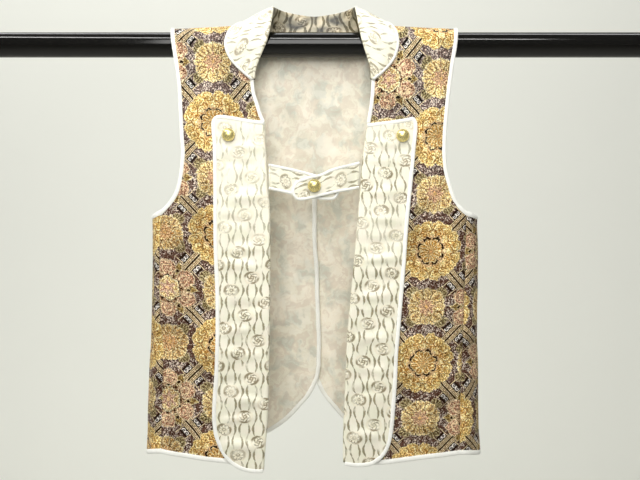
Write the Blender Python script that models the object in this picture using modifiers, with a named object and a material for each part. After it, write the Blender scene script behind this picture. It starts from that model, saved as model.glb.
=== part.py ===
"""Sleeveless kimono vest (jinbaori) for a child, hung on a round rod that
passes through both armholes.

Frame: origin on the rod's axis at the middle of the garment, +Z up, the
fronts face -Y, the wearer's right is at -X.  Sizes below are millimetres;
the meshes are made in metres.

Each cloth panel is cut flat in coordinates (u, v): u is the distance from the
centre line, v the height along the cloth.  v = 0 is level with the rod's axis,
v = 30 is the shoulder seam on top of the rod, and below 0 v is the height
itself.  A panel's outline is read from the tables, filled with a lattice of
points, laid on the form of the hanging front or back, and thickened.
"""
import math

import bmesh
import bpy
import numpy as np
from mathutils.geometry import delaunay_2d_cdt

# ------------------------------------------------------------------ sizes
MM = 0.001
ROD_RADIUS = 14.0
ROD_LENGTH = 800.0
FRONT_WALL = 1.6          # brocade with its interlining
BACK_WALL = 1.6
LINING_WALL = 1.0
LAPEL_WALL = 1.6
LAPEL_LIFT = 2.4          # middle of the lapel's wall over the middle of the front's
COLLAR_WALL = 1.5
STRAP_WALL = 1.8
SEAM_GAP = 0.3            # between two sewn pieces
TOP_V = 30.0              # v of the shoulder seam
BIND_ARM = 4.0            # binding widths
BIND_NECK = 3.6
BIND_LAPEL = 4.0
BIND_HEM = 5.0
BIND_STRAP = 2.8
BIND_COLLAR = 3.0
BIND_WALL = 2.2
BUTTON_RADIUS = 7.2
BUTTON_HEIGHT = 8.6
LATTICE = 24.0            # spacing of the points that fill a panel
VENT_TOP = -142.0

# ----------------------------------------------------------------- tables
# depth of the cloth in front of and behind the rod's axis, by height
DEPTH = dict(
    v=(0, -30, -90, -150, -192, -260, -340, -400, -480),
    front=(15.6, 16.6, 19.5, 22.5, 25.0, 27.5, 30.0, 31.5, 33.0),
    back=(17.5, 18.3, 21.7, 26.2, 29.5, 34.0, 38.5, 41.0, 43.5))
# height of the shoulder seam over the rod's axis, by distance from the centre
SHOULDER = dict(u=(56, 90, 125, 162), height=(22.0, 20.4, 18.4, 16.8))
# armhole edge, top to underarm
ARMHOLE = dict(
    v=(30, 0, -30, -56, -81, -107, -122, -141, -160, -170, -178.5, -186.3, -190.5),
    right=(160.5, 157.5, 153, 150, 148.7, 147.2, 146, 147.5, 150.6, 154.5, 160.5, 168, 174),
    left=(160.8, 158.6, 153.8, 150.4, 147.7, 145.6, 145.2, 146.6, 151.4, 154.6, 159, 166.2, 174))
# side seam of the fronts and the outermost edge of the gusset behind it
SIDE = dict(
    v=(-180, -240, -300, -345, -400, -455),
    seam_right=(168, 170, 169, 165, 166, 167.5),
    edge_right=(181.5, 179.5, 181.5, 183, 185, 187.5),
    seam_left=(168, 166.5, 164.5, 162, 160, 159),
    edge_left=(182.5, 183, 183, 183, 183.5, 186.5))
# neck edge down to the lapel, then the lapel's fold down to the hem
FOLD = dict(
    v=(30, 15, 0, -20, -43, -56, -68, -81, -89, -107, -135, -163, -179, -197, -239, -285,
       -335, -366, -390, -428, -452, -472),
    right=(56, 58, 62, 65.5, 66.5, 65.2, 61.5, 57.5, 54.3, 53.7, 52.2, 50.9, 49, 48.3, 48.1, 48.1,
           48.8, 49.4, 49.8, 51.6, 53.4, 54.7),
    left=(56, 57, 60.5, 63, 63.8, 63.2, 62, 60, 58.6, 56.6, 53.2, 51.2, 49.8, 48.3, 44.7, 40.3,
          36.2, 35, 34, 32.4, 32.1, 33))
# hem of the fronts, by distance from the centre
HEM = dict(
    u=(30, 55, 75, 96, 115, 139, 164, 190),
    right=(-471, -470.5, -466.5, -461.8, -459.8, -456.3, -452.8, -446),
    left=(-461, -463.5, -463, -460.6, -458, -455.5, -453, -450.5))
# free edge of the lapel, top corner to hem, and then its rounded foot
LAPEL = dict(
    v=(-84, -88, -95, -116, -145, -170, -204, -239, -281, -322, -348, -369, -390, -409, -427),
    right=(110.4, 112.6, 112.4, 110.8, 110.1, 109.7, 109.5, 108.7, 107, 106.5, 107, 107.9, 109.5,
           110.1, 108.7),
    left=(111, 113, 113.6, 111.6, 109, 106.4, 102.9, 100.4, 96.8, 93.2, 91, 90.3, 88.8, 87.5, 85.6))
FOOT = dict(
    v_right=(-439.3, -452.2, -463, -469.5, -471.6, -471.4),
    right=(104.9, 98.7, 88.8, 76.4, 63.9, 55),
    v_left=(-438, -449, -458.7, -464.2, -465.2, -463.4),
    left=(83.4, 79, 70.7, 59.7, 47.3, 33))
LAPEL_TOP = dict(u=(50, 58, 71, 90, 103, 111), right=(-89, -88.5, -86.9, -83.6, -82, -83.4),
                 left=(-92.5, -91.8, -90, -87.6, -85.4, -83.4))
# centre vent of the back: where the two edges hang, and how far the halves part in depth
VENT = dict(
    v=(-142, -152, -160, -173, -225, -248, -285, -342, -366, -470),
    right=(0, -0.3, -0.3, 2.1, 2.8, 4.8, 5.8, 7.6, 7.2, 7.2),
    left=(0, 0.3, 0.3, -0.9, -1.5, -1.8, -1.8, -1.8, -1.8, -1.8),
    part=(0, 0.9, 1.9, 2.1, 2.2, 2.3, 2.3, 2.4, 2.4, 2.4))
VENT_FOOT = dict(
    u=(0, 2, 5.3, 12, 23, 36, 49.7, 57.8, 80, 115, 172),
    v=(-366, -378, -387, -400, -414, -429, -440, -445, -448.5, -450.5, -451))
BACK_NECK = dict(u=(0, 25, 44, 53.5, 56), v=(6, 7, 12, 20, 30))
# collar, from its front point (row 0) round to the centre back; face -1 lies on the
# fronts and +1 on the back; roll is the line where the stand turns down into the fall
COLLAR = dict(
    neck_face=(-1, -1, -1, -1, -1, -1, 1, 1, 1, 1, 1, 1, 1),
    neck_v=(-42.5, -32, -18, -3, 9, 20, 29.6, 24, 18, 13.5, 9.5, 7, 6),
    neck_right=(66.2, 66.0, 65.0, 62.5, 59.5, 57.3, 56, 55.0, 52.2, 47, 38, 22, 0),
    neck_left=(63.6, 63.4, 62.6, 60.8, 58.4, 56.8, 56, 55.0, 52.2, 47, 38, 22, 0),
    roll_right=(65.6, 62.6, 57.2, 52.0, 48.4, 46.2, 45.0, 43.8, 41.2, 36.5, 29, 16, 0),
    roll_left=(63.2, 61.0, 57.0, 53.2, 50.0, 47.6, 45.8, 43.9, 41.2, 36.5, 29, 16, 0),
    roll_y=(-19.0, -19.6, -19.8, -19.4, -17.0, -11.0, -2.0, 4.5, 10.5, 15.8, 19.6, 21.8, 22.5),
    roll_z=(-41.0, -27.5, -13.5, -1.0, 13.5, 28, 40.5, 42.6, 42.8, 42.0, 40.8, 38.8, 37.4),
    edge_face=(-1, -1, -1, -1, -1, -1, -1, 1, 1, 1, 1, 1, 1),
    edge_v=(-43.0, -34, -20, -4, 9.5, 19.5, 29.0, 21, 12, 4, -3, -9, -12),
    edge_right=(69.5, 80, 93, 99.0, 96.0, 89.0, 81, 80, 79, 76, 68, 42, 0),
    edge_left=(66.8, 77.5, 89, 94.0, 92.5, 87.5, 81.5, 80.5, 79, 76, 68, 42, 0))
# chest tabs: centre line and half height along x, the free end last; the wearer's
# right tab lies under the left one
STRAP_RIGHT = dict(
    x=(-49.6, -40, -26, -8, 10, 19, 24, 26.5),
    mid=(-149.6, -151.6, -154.6, -158.6, -162.4, -164.0, -164.8, -165.2),
    half=(14.0, 14.1, 14.2, 13.8, 12.6, 11.2, 8.6, 4.6))
STRAP_LEFT = dict(
    x=(49.8, 36, 19, 7, -6, -14, -19.6, -22.6),
    mid=(-148.0, -151.2, -155.2, -159.4, -162.6, -164.2, -165.2, -165.8),
    half=(14.6, 14.2, 13.6, 12.2, 12.2, 11.6, 9.6, 5.0))
BUTTONS = dict(name=("button_lapel_right", "button_lapel_left", "button_strap"),
               side=(-1, 1, 0), u=(93.6, 97.4, 0.5), v=(-104.1, -104.9, -160.0))

SIDE_NAME = {-1: "right", 1: "left"}


# --------------------------------------------------------- curves and tables
def smooth(xs, ys, at):
    """Monotone cubic through the table's points, level or straight beyond its ends."""
    xs, ys = np.asarray(xs, float), np.asarray(ys, float)
    if xs[0] > xs[-1]:
        xs, ys = xs[::-1], ys[::-1]
    at = np.clip(np.asarray(at, float), xs[0], xs[-1])
    h = np.diff(xs)
    slope = np.diff(ys) / h
    m = np.zeros(len(xs))
    m[0], m[-1] = slope[0], slope[-1]
    for i in range(1, len(xs) - 1):
        if slope[i - 1] * slope[i] > 0:
            w1, w2 = 2 * h[i] + h[i - 1], h[i] + 2 * h[i - 1]
            m[i] = (w1 + w2) / (w1 / slope[i - 1] + w2 / slope[i])
    i = np.clip(np.searchsorted(xs, at, side="right") - 1, 0, len(xs) - 2)
    t = (at - xs[i]) / h[i]
    return ((2 * t**3 - 3 * t**2 + 1) * ys[i] + (t**3 - 2 * t**2 + t) * h[i] * m[i]
            + (-2 * t**3 + 3 * t**2) * ys[i + 1] + (t**3 - t**2) * h[i] * m[i + 1])


def column(table, side):
    return table[SIDE_NAME[side]]


def ease(x):
    x = np.clip(x, 0.0, 1.0)
    return x * x * (3 - 2 * x)


def spline_path(us, vs, step=1.0):
    """Smooth curve through a short list of points, as a dense path."""
    us, vs = np.asarray(us, float), np.asarray(vs, float)
    t = np.concatenate([[0], np.cumsum(np.hypot(np.diff(us), np.diff(vs)))])
    at = np.linspace(0, t[-1], max(2, int(t[-1] / step) + 1))
    return np.column_stack([smooth(t, us, at), smooth(t, vs, at)])


# ------------------------------------------------------------ hanging forms
def arch(u, v, depth):
    """Cloth over the rod: a quarter ellipse from the rod's level to the seam."""
    phi = np.clip(v / TOP_V, 0, 1) * math.pi / 2
    height = smooth(SHOULDER["u"], SHOULDER["height"], u)
    return depth * np.cos(phi), height * np.sin(phi)


def front_point(side, u, v):
    low = np.minimum(v, 0.0)
    depth = smooth(DEPTH["v"], DEPTH["front"], low)
    depth = depth - 4.5 * ease((-low - 90) / 110) * np.clip((u - 110) / 58, 0, 1.4) ** 2
    y, z = arch(u, v, depth)
    return np.column_stack([side * u, -y, np.where(v > 0, z, v)])


def back_point(side, u, v):
    low = np.minimum(v, 0.0)
    depth = smooth(DEPTH["v"], DEPTH["back"], low)
    depth = depth - 3.0 * ease((-low - 90) / 110) * np.clip((u - 110) / 58, 0, 1.4) ** 2
    shift = smooth(VENT["v"], column(VENT, side), low)
    part = side * smooth(VENT["v"], VENT["part"], low)
    fall = 1 - ease(u / 95.0)
    y, z = arch(u, v, depth)
    return np.column_stack([side * u + shift * fall, y + part * (1 - ease(u / 60.0)),
                            np.where(v > 0, z, v)])


def gusset_point(side, q, v):
    """q runs from the front seam (0) round the side to the back seam (1)."""
    name = SIDE_NAME[side]
    seam = smooth(SIDE["v"], SIDE["seam_" + name], v)
    edge = smooth(SIDE["v"], SIDE["edge_" + name], v)
    a, b = front_point(side, seam, v), back_point(side, seam, v)
    turn = np.sin(math.pi * q)
    y = a[:, 1] + (b[:, 1] - a[:, 1]) * (1 - np.cos(math.pi * q)) / 2
    return np.column_stack([side * (seam + (edge - seam) * turn), y, v])


def normals(form, side, u, v, out, e=0.4):
    scale = 0.004 if form is gusset_point else 1.0
    du = form(side, u + e * scale, v) - form(side, u - e * scale, v)
    dv = form(side, u, np.minimum(v + e, TOP_V)) - form(side, u, np.minimum(v + e, TOP_V) - 2 * e)
    n = np.cross(du, dv)
    n /= np.maximum(np.linalg.norm(n, axis=1), 1e-9)[:, None]
    flip = np.where(n @ np.asarray(out, float) < 0, -1.0, 1.0)
    return n * flip[:, None]


def lay(form, side, u, v, lift=0.0):
    """Point of the form at (u, v), moved out of the cloth by lift."""
    u, v = np.atleast_1d(np.asarray(u, float)), np.atleast_1d(np.asarray(v, float))
    u, v = np.broadcast_arrays(u, v)
    out = {front_point: (0, -1, 0.3), back_point: (0, 1, 0.3)}.get(form, (side, 0, 0))
    return form(side, u, v) + normals(form, side, u, v, out) * np.reshape(lift, (-1, 1))


def seam_u(side, v):
    return smooth(SIDE["v"], SIDE["seam_" + SIDE_NAME[side]], v)


# ---------------------------------------------------------------- outlines
# Each edge is a dense path in (u, v), run clockwise, so its inside is on the right.
def edge_shoulder(side):
    u0, u1 = FOLD["right"][0], column(ARMHOLE, side)[0]
    u = np.linspace(u0, u1, 60)
    return np.column_stack([u, np.full_like(u, TOP_V)])


def edge_armhole(side):
    v = np.linspace(TOP_V, ARMHOLE["v"][-1], 400)
    u = smooth(ARMHOLE["v"], column(ARMHOLE, side), v)
    keep = u <= seam_u(side, v) + 0.01
    keep[: 200] = True
    return np.column_stack([u, v])[keep]


def edge_side(side, top, bottom):
    v = np.linspace(top, bottom, 300)
    return np.column_stack([seam_u(side, v), v])


def edge_front_hem(side):
    u1 = float(seam_u(side, -453.0))
    u0 = column(FOLD, side)[-1]
    u = np.linspace(u1, u0, 160)
    return np.column_stack([u, smooth(HEM["u"], column(HEM, side), u)])


def edge_fold(side, bottom):
    v = np.linspace(bottom, TOP_V, 500)
    return np.column_stack([smooth(FOLD["v"], column(FOLD, side), v), v])


def edge_back_hem(side):
    path = spline_path(VENT_FOOT["u"][::-1], VENT_FOOT["v"][::-1])
    return path[path[:, 0] <= float(seam_u(side, -451.0)) + 0.01]


def edge_vent(top):
    v = np.linspace(VENT_FOOT["v"][0], top, 200)
    return np.column_stack([np.zeros_like(v), v])


def edge_back_neck():
    u = np.concatenate([np.linspace(0, 50, 50), np.linspace(50.5, 56, 40)])
    return np.column_stack([u, smooth(BACK_NECK["u"], BACK_NECK["v"], u)])


def edge_lapel(side):
    """Top edge from the fold outwards, down the free edge, round the foot to the fold."""
    top_u = np.linspace(float(smooth(FOLD["v"], column(FOLD, side), -89.0)),
                        column(LAPEL, side)[0] - 0.8, 60)
    top = np.column_stack([top_u, smooth(LAPEL_TOP["u"], column(LAPEL_TOP, side), top_u)])
    us = list(column(LAPEL, side)) + list(column(FOOT, side))
    vs = list(LAPEL["v"]) + list(FOOT["v_" + SIDE_NAME[side]])
    return top, spline_path(us[1:], vs[1:])


def inward(path):
    d = np.gradient(path, axis=0)
    d /= np.maximum(np.linalg.norm(d, axis=1), 1e-9)[:, None]
    return np.column_stack([d[:, 1], -d[:, 0]])


def carry_on(path, reach=9.0):
    """Path with its ends carried on straight, for the corner cut."""
    head = path[0] - (path[1] - path[0]) / np.linalg.norm(path[1] - path[0]) * reach
    tail = path[-1] + (path[-1] - path[-2]) / np.linalg.norm(path[-1] - path[-2]) * reach
    return np.vstack([head, path, tail])


def crossing(a, b):
    """Last place where path a meets path b: (index in a, index in b, point)."""
    p, r = a[:-1], np.diff(a, axis=0)
    q, s = b[:-1], np.diff(b, axis=0)
    cross = r[:, None, 0] * s[None, :, 1] - r[:, None, 1] * s[None, :, 0]
    qp = q[None] - p[:, None]
    with np.errstate(divide="ignore", invalid="ignore"):
        t = (qp[..., 0] * s[None, :, 1] - qp[..., 1] * s[None, :, 0]) / cross
        w = (qp[..., 0] * r[:, None, 1] - qp[..., 1] * r[:, None, 0]) / cross
    hit = np.argwhere((t >= 0) & (t <= 1) & (w >= 0) & (w <= 1))
    if not len(hit):
        return None
    i, j = hit[-1]
    return i, j, p[i] + r[i] * t[i, j]


def outline(edges):
    """Corner-to-corner outline of the marked edges [(marks, inset)], moved inside."""
    moved = [carry_on(p + n * np.reshape(by, (-1, 1))) for (p, n), by in edges]
    corners = []
    for k in range(len(moved)):
        after = moved[(k + 1) % len(moved)]
        hit = crossing(moved[k], after)
        corners.append(hit if hit else (len(moved[k]) - 2, 0, (moved[k][-2] + after[1]) / 2))
    ring = []
    for k in range(len(moved)):
        start, end = corners[k - 1], corners[k]
        ring += [start[2]] + list(moved[k][start[1] + 1: end[0] + 1])
    keep = [ring[0]]
    for p in ring[1:]:
        if np.linalg.norm(p - keep[-1]) > 0.8:
            keep.append(p)
    return np.array(keep)


def lattice_rows(step):
    top = [30, 24, 18, 12, 6, 0]
    low = list(-np.arange(step * 0.7, 500, step))
    return np.array(top + low)


def marked(path, least=5.0, step=LATTICE, rows=(), cols=(), level_only=False):
    """Marks on an edge, shared by a panel and its binding: the points where the path
    crosses a line of the lattice, with both of its ends, and their inward directions."""
    level = np.concatenate([lattice_rows(step), rows])
    across = [] if level_only else np.concatenate([np.arange(0, 200, step), cols])
    at = [0.0, len(path) - 1.0]
    for axis, lines in ((1, level), (0, across)):
        c = path[:, axis]
        for line in lines:
            for i in np.nonzero((c[:-1] - line) * (c[1:] - line) < 0)[0]:
                at.append(i + (line - c[i]) / (c[i + 1] - c[i]))
            if np.count_nonzero(c == line) == 1:
                at.append(float(np.nonzero(c == line)[0][0]))
    at = sorted(set(at))
    n = inward(path)
    pick = lambda a, m: a[int(m)] + (a[min(int(m) + 1, len(a) - 1)] - a[int(m)]) * (m - int(m))
    keep = [at[0]]
    for m in at[1:-1]:
        p = pick(path, m)
        if (np.linalg.norm(p - pick(path, keep[-1])) >= least
                and np.linalg.norm(p - path[-1]) >= least):
            keep.append(m)
    keep.append(at[-1])
    return np.array([pick(path, m) for m in keep]), np.array([pick(n, m) for m in keep])


def upright(marks, end):
    """The mark at a side seam points along the seam, so that front, gusset and back meet."""
    p, n = marks[0].copy(), marks[1].copy()
    n[end] = (0.0, math.copysign(1.0 / abs(n[end][1]), n[end][1]))
    return p, n


def inside(poly, pts):
    x, y = pts[:, 0], pts[:, 1]
    c = np.zeros(len(pts), bool)
    for a, b in zip(poly, np.roll(poly, -1, axis=0)):
        cond = (a[1] > y) != (b[1] > y)
        with np.errstate(divide="ignore", invalid="ignore"):
            xi = (b[0] - a[0]) * (y - a[1]) / (b[1] - a[1]) + a[0]
        c ^= cond & (x < xi)
    return c


def clear_of(poly, pts, least):
    best = np.full(len(pts), 1e9)
    for a, b in zip(poly, np.roll(poly, -1, axis=0)):
        d = b - a
        t = np.clip(((pts - a) @ d) / max(d @ d, 1e-9), 0, 1)
        best = np.minimum(best, np.linalg.norm(pts - a - t[:, None] * d, axis=1))
    return best > least


def fill(ring, step=LATTICE):
    """Triangles of a flat outline filled with the lattice's points."""
    grid = np.array([(u, v) for v in lattice_rows(step) for u in np.arange(0, 200, step)])
    grid = grid[inside(ring, grid)]
    grid = grid[clear_of(ring, grid, step * 0.33)]
    pts = np.vstack([ring, grid])
    verts, _, faces, _, _, _ = delaunay_2d_cdt(
        [tuple(p) for p in pts], [], [list(range(len(ring)))], 1, 1e-4)
    return np.array([tuple(p) for p in verts]), [tuple(f) for f in faces]


# ------------------------------------------------------------------ meshes
def clear_scene():
    for obj in list(bpy.data.objects):
        bpy.data.objects.remove(obj, do_unlink=True)


def material(name, colour, rough, metal):
    mat = bpy.data.materials.new(name)
    mat.use_nodes = True
    bsdf = mat.node_tree.nodes["Principled BSDF"]
    bsdf.inputs["Base Color"].default_value = (*colour, 1.0)
    bsdf.inputs["Roughness"].default_value = rough
    bsdf.inputs["Metallic"].default_value = metal
    return mat


def add_mesh(name, points, faces, look, collection):
    mesh = bpy.data.meshes.new(name)
    mesh.from_pydata([tuple(float(c) * MM for c in p) for p in points], [], faces)
    mesh.validate()
    obj = bpy.data.objects.new(name, mesh)
    collection.objects.link(obj)
    mesh.materials.append(material(name + "_cloth", *look))
    return obj


def thicken(obj, wall):
    mod = obj.modifiers.new("wall", "SOLIDIFY")
    mod.thickness = wall * MM
    mod.offset = 0.0
    mod.use_rim = True
    mod.use_even_offset = False
    obj.data.shade_smooth()
    obj.data.set_sharp_from_angle(angle=math.radians(40))
    return obj


def weld(obj, gap=0.02):
    bm = bmesh.new()
    bm.from_mesh(obj.data)
    bmesh.ops.remove_doubles(bm, verts=bm.verts, dist=gap * MM)
    bmesh.ops.recalc_face_normals(bm, faces=bm.faces)
    bm.to_mesh(obj.data)
    bm.free()
    return obj


def ribbon(rows, closed=False):
    """Faces of a strip whose rows are lists of points of the same length."""
    n, m = len(rows), len(rows[0])
    pts = [p for row in rows for p in row]
    faces = []
    for i in range(n if closed else n - 1):
        j = (i + 1) % n
        for k in range(m - 1):
            faces.append((i * m + k, i * m + k + 1, j * m + k + 1, j * m + k))
    return pts, faces


def edge_rows(form, side, marks, width, lift):
    """Binding rows along a marked edge: its outer edge and its inner edge."""
    out = []
    for p, n in zip(*marks):
        uv = np.array([p, p + n * width])
        out.append(lay(form, side, uv[:, 0], uv[:, 1], lift))
    return out


# ------------------------------------------------------------- the garment
GOLD = ((0.36, 0.20, 0.07), 0.5, 0.1)
CREAM = ((0.80, 0.75, 0.64), 0.45, 0.0)
WHITE = ((0.88, 0.87, 0.84), 0.55, 0.0)
PALE = ((0.66, 0.60, 0.53), 0.7, 0.0)
BRASS = ((0.62, 0.45, 0.20), 0.4, 1.0)
BLACK = ((0.012, 0.012, 0.014), 0.2, 0.0)


GUSSET_Q = (0.0, 0.1, 0.25, 0.42, 0.6, 0.78, 0.91, 1.0)


def arm_marks(side):
    return upright(marked(edge_armhole(side)), -1)


def front_hem_marks(side):
    return upright(marked(edge_front_hem(side)), 0)


def back_hem_marks(side):
    return upright(marked(edge_back_hem(side), cols=np.arange(6, 60, 12.0)), 0)


def seam_marks(side, top, bottom):
    return marked(edge_side(side, top, bottom), level_only=True)


def vent_marks():
    return marked(edge_vent(VENT_TOP), least=3.0, rows=(-146, -150, -154))


def fold_marks(side):
    bottom = edge_front_hem(side)[-1][1]
    return marked(edge_fold(side, bottom), least=3.0, rows=(-90, -86, -74, -62, -52, -45, -43.5))


def gusset_top(side, q):
    start = edge_armhole(side)[-1][1]
    return start - (192.6 + start) * np.sin(math.pi * q)


def gusset_bottom(side, q):
    a = float(smooth(HEM["u"], column(HEM, side), seam_u(side, -453.0)))
    b = -451.0
    return a + (b - a) * q - 6.0 * np.sin(math.pi * q) ** 2


def gusset_band(side, q):
    """Height of the armhole binding on the gusset: it slants at the two seams."""
    slant = abs(arm_marks(side)[1][-1][1])
    return 1 + (slant - 1) * np.abs(np.cos(math.pi * q)) ** 1.5


def front(side, coll):
    fold, n = fold_marks(side)
    under = np.where(fold[:, 1] > -44, 1.3,
                     np.where(fold[:, 1] > -89, BIND_NECK + SEAM_GAP, 1.2))
    arm, hem = arm_marks(side), front_hem_marks(side)
    seam = seam_marks(side, arm[0][-1][1], hem[0][0][1])
    ring = outline([(marked(edge_shoulder(side)), 0.4), (arm, BIND_ARM + SEAM_GAP),
                    (seam, 0.5 * SEAM_GAP), (hem, BIND_HEM + SEAM_GAP), ((fold, n), under)])
    uv, faces = fill(ring)
    obj = add_mesh("front_" + SIDE_NAME[side], lay(front_point, side, uv[:, 0], uv[:, 1]),
                   faces, GOLD, coll)
    return thicken(obj, FRONT_WALL)


def back_sheet(name, wall, lift, look, coll, neck_in):
    """Both halves share the centre line above the vent and part below it."""
    points, faces = [], []
    for side in (-1, 1):
        hem, arm = back_hem_marks(side), arm_marks(side)
        seam = seam_marks(side, arm[0][-1][1], hem[0][0][1])
        centre = marked(np.array([(0.0, v) for v in np.linspace(VENT_TOP, BACK_NECK["v"][0], 80)]))
        slit, n = vent_marks()
        taper = (BIND_HEM + SEAM_GAP) * ease((VENT_TOP - slit[:, 1]) / 10.0)
        spine = (np.vstack([slit + n * taper[:, None], centre[0][1:]]),
                 np.vstack([n, centre[1][1:]]))
        ring = outline([(marked(edge_shoulder(side)), 0.4), (arm, BIND_ARM + SEAM_GAP),
                        (seam, 0.5 * SEAM_GAP), (hem, BIND_HEM + SEAM_GAP),
                        (spine, 0.0), (marked(edge_back_neck()), neck_in)])
        uv, tris = fill(ring)
        uv[np.abs(uv[:, 0]) < 0.05, 0] = 0.0
        base = len(points)
        points += list(lay(back_point, side, uv[:, 0], uv[:, 1], lift))
        faces += [tuple(base + i for i in f) for f in tris]
    obj = weld(add_mesh(name, points, faces, look, coll), 0.05)
    return thicken(obj, wall)


def gusset(side, coll):
    q = np.array(GUSSET_Q)
    top = gusset_top(side, q) - (BIND_ARM + SEAM_GAP) * gusset_band(side, q) - SEAM_GAP
    bottom = gusset_bottom(side, q) + BIND_HEM + SEAM_GAP
    inner = q.copy()
    inner[0], inner[-1] = 0.004, 0.996
    levels = [v for v in lattice_rows(LATTICE) if top.min() - 5 > v > bottom.max() + 5]
    rows = [lay(gusset_point, side, inner, v) for v in [top] + levels + [bottom]]
    pts, faces = ribbon(rows)
    return thicken(weld(add_mesh("side_" + SIDE_NAME[side], pts, faces, GOLD, coll)), FRONT_WALL)


def lapel_marks(side):
    top, free = edge_lapel(side)
    path = np.vstack([top, free])
    path = path[np.concatenate([[True], np.linalg.norm(np.diff(path, axis=0), axis=1) > 1e-6])]
    for _ in range(4):
        path[1:-1] = 0.25 * path[:-2] + 0.5 * path[1:-1] + 0.25 * path[2:]
    return marked(path, least=4.0, cols=(60, 84, 103, 108, 110))


def lapel(side, coll):
    border = lapel_marks(side)
    fold_all = edge_fold(side, border[0][-1][1])
    fold = marked(fold_all[fold_all[:, 1] <= border[0][0][1]])
    ring = outline([(border, BIND_LAPEL + SEAM_GAP), (fold, 0.1)])
    uv, faces = fill(ring)
    obj = add_mesh("lapel_" + SIDE_NAME[side],
                   lay(front_point, side, uv[:, 0], uv[:, 1], LAPEL_LIFT), faces, CREAM, coll)
    return thicken(obj, LAPEL_WALL)


def collar_rows():
    """Sections of the collar from the right point round to the left point."""
    n = len(COLLAR["neck_v"])
    order = [(-1, i) for i in range(n)] + [(1, i) for i in range(n - 2, -1, -1)]
    forms = {-1: front_point, 1: back_point}
    rho = 1.3
    rows, rims = [], []
    for side, i in order:
        g = lambda key: COLLAR[key + "_" + SIDE_NAME[side]][i]
        f_neck, f_edge = forms[COLLAR["neck_face"][i]], forms[COLLAR["edge_face"][i]]
        lift_neck = 0.1 if i < 6 else 0.0
        neck = lay(f_neck, side, g("neck"), COLLAR["neck_v"][i], lift_neck)[0]
        out = FRONT_WALL / 2 + 1.0 + COLLAR_WALL / 2
        edge = lay(f_edge, side, g("edge"), COLLAR["edge_v"][i], out)[0]
        far = lay(f_edge, side, g("edge"), COLLAR["edge_v"][i], out + 4.0)[0]
        roll = np.array([side * g("roll"), COLLAR["roll_y"][i], COLLAR["roll_z"][i]])
        up = roll - neck
        length = np.linalg.norm(up)
        up /= length
        over = (edge - roll) - ((edge - roll) @ up) * up
        over /= np.linalg.norm(over)
        r = min(rho, 0.3 * length)
        lift = (far - edge) / 4.0
        c = 0.5 * (roll + edge) + lift * min(3.2, 0.2 * np.linalg.norm(edge - roll))
        p_in, p_out = roll - up * r, roll - up * r + over * 2 * r
        bez = [(1 - t) ** 2 * p_out + 2 * t * (1 - t) * c + t * t * edge for t in (0.0, 0.34, 0.67, 1.0)]
        w = np.linalg.norm(bez[-1] - bez[-2])
        cut = bez[-2] + (bez[-1] - bez[-2]) * max(0.25, 1 - (BIND_COLLAR + 0.8) / w)
        rows.append([neck, neck + (p_in - neck) * 0.55, p_in, roll + over * r, bez[0], bez[1],
                     bez[2], cut])
        rim = bez[-2] + (bez[-1] - bez[-2]) * max(0.25 + 0.8 / w, 1 - BIND_COLLAR / w)
        rims.append([rim, edge])
    return rows, rims


def collar(coll):
    rows, rims = collar_rows()
    pts, faces = ribbon(rows)
    thicken(weld(add_mesh("collar", pts, faces, CREAM, coll), 0.01), COLLAR_WALL)
    pts, faces = ribbon(rims)
    thicken(weld(add_mesh("binding_collar", pts, faces, WHITE, coll), 0.01), COLLAR_WALL + 0.4)


def strap_level(side, x):
    """Depth of a tab's middle: the left tab climbs over the right one."""
    if side < 0:
        return np.full_like(x, -24.6)
    return -24.6 - (STRAP_WALL + SEAM_GAP + 0.9) * ease((46 - x) / 16)


def strap_rings(side):
    """Outer edge and inner edge of a tab's binding, top, free end and bottom."""
    table = STRAP_RIGHT if side < 0 else STRAP_LEFT
    x0, x1 = table["x"][0], table["x"][-1]
    step = 1 if x1 > x0 else -1
    xs = x0 + (x1 - x0) * np.sin(np.linspace(0, 1, 9) * math.pi / 2)
    mid = smooth(table["x"], table["mid"], xs)
    half = smooth(table["x"], table["half"], xs)
    path = np.vstack([np.column_stack([xs, mid + half]), np.column_stack([xs, mid - half])[::-1]])
    n = inward(path) * step
    return path, n


def strap(side, coll):
    path, n = strap_rings(side)
    ring = path + n * (BIND_STRAP + SEAM_GAP)
    ring[0, 0], ring[-1, 0] = path[0, 0], path[-1, 0]
    mid = np.column_stack([np.linspace(ring[0, 0], path[8, 0], 7)[1:-1],
                           np.interp(np.linspace(0, 1, 7)[1:-1], [0, 1],
                                     [ring[[0, -1], 1].mean(), ring[[8, 9], 1].mean()])])
    pts = np.vstack([ring, mid])
    verts, _, faces, _, _, _ = delaunay_2d_cdt([tuple(p) for p in pts], [],
                                               [list(range(len(ring)))], 1, 1e-4)
    xz = np.array([tuple(p) for p in verts])
    solid = np.column_stack([xz[:, 0], strap_level(side, xz[:, 0]), xz[:, 1]])
    obj = add_mesh("strap_" + SIDE_NAME[side], solid, [tuple(f) for f in faces], CREAM, coll)
    thicken(obj, STRAP_WALL)
    rows = []
    for p, d in zip(path, n):
        xz = np.array([p, p + d * BIND_STRAP])
        rows.append(np.column_stack([xz[:, 0], strap_level(side, xz[:, 0]), xz[:, 1]]))
    pts, faces = ribbon(rows)
    thicken(weld(add_mesh("binding_strap_" + SIDE_NAME[side], pts, faces, WHITE, coll)),
            STRAP_WALL + 0.4)


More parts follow.
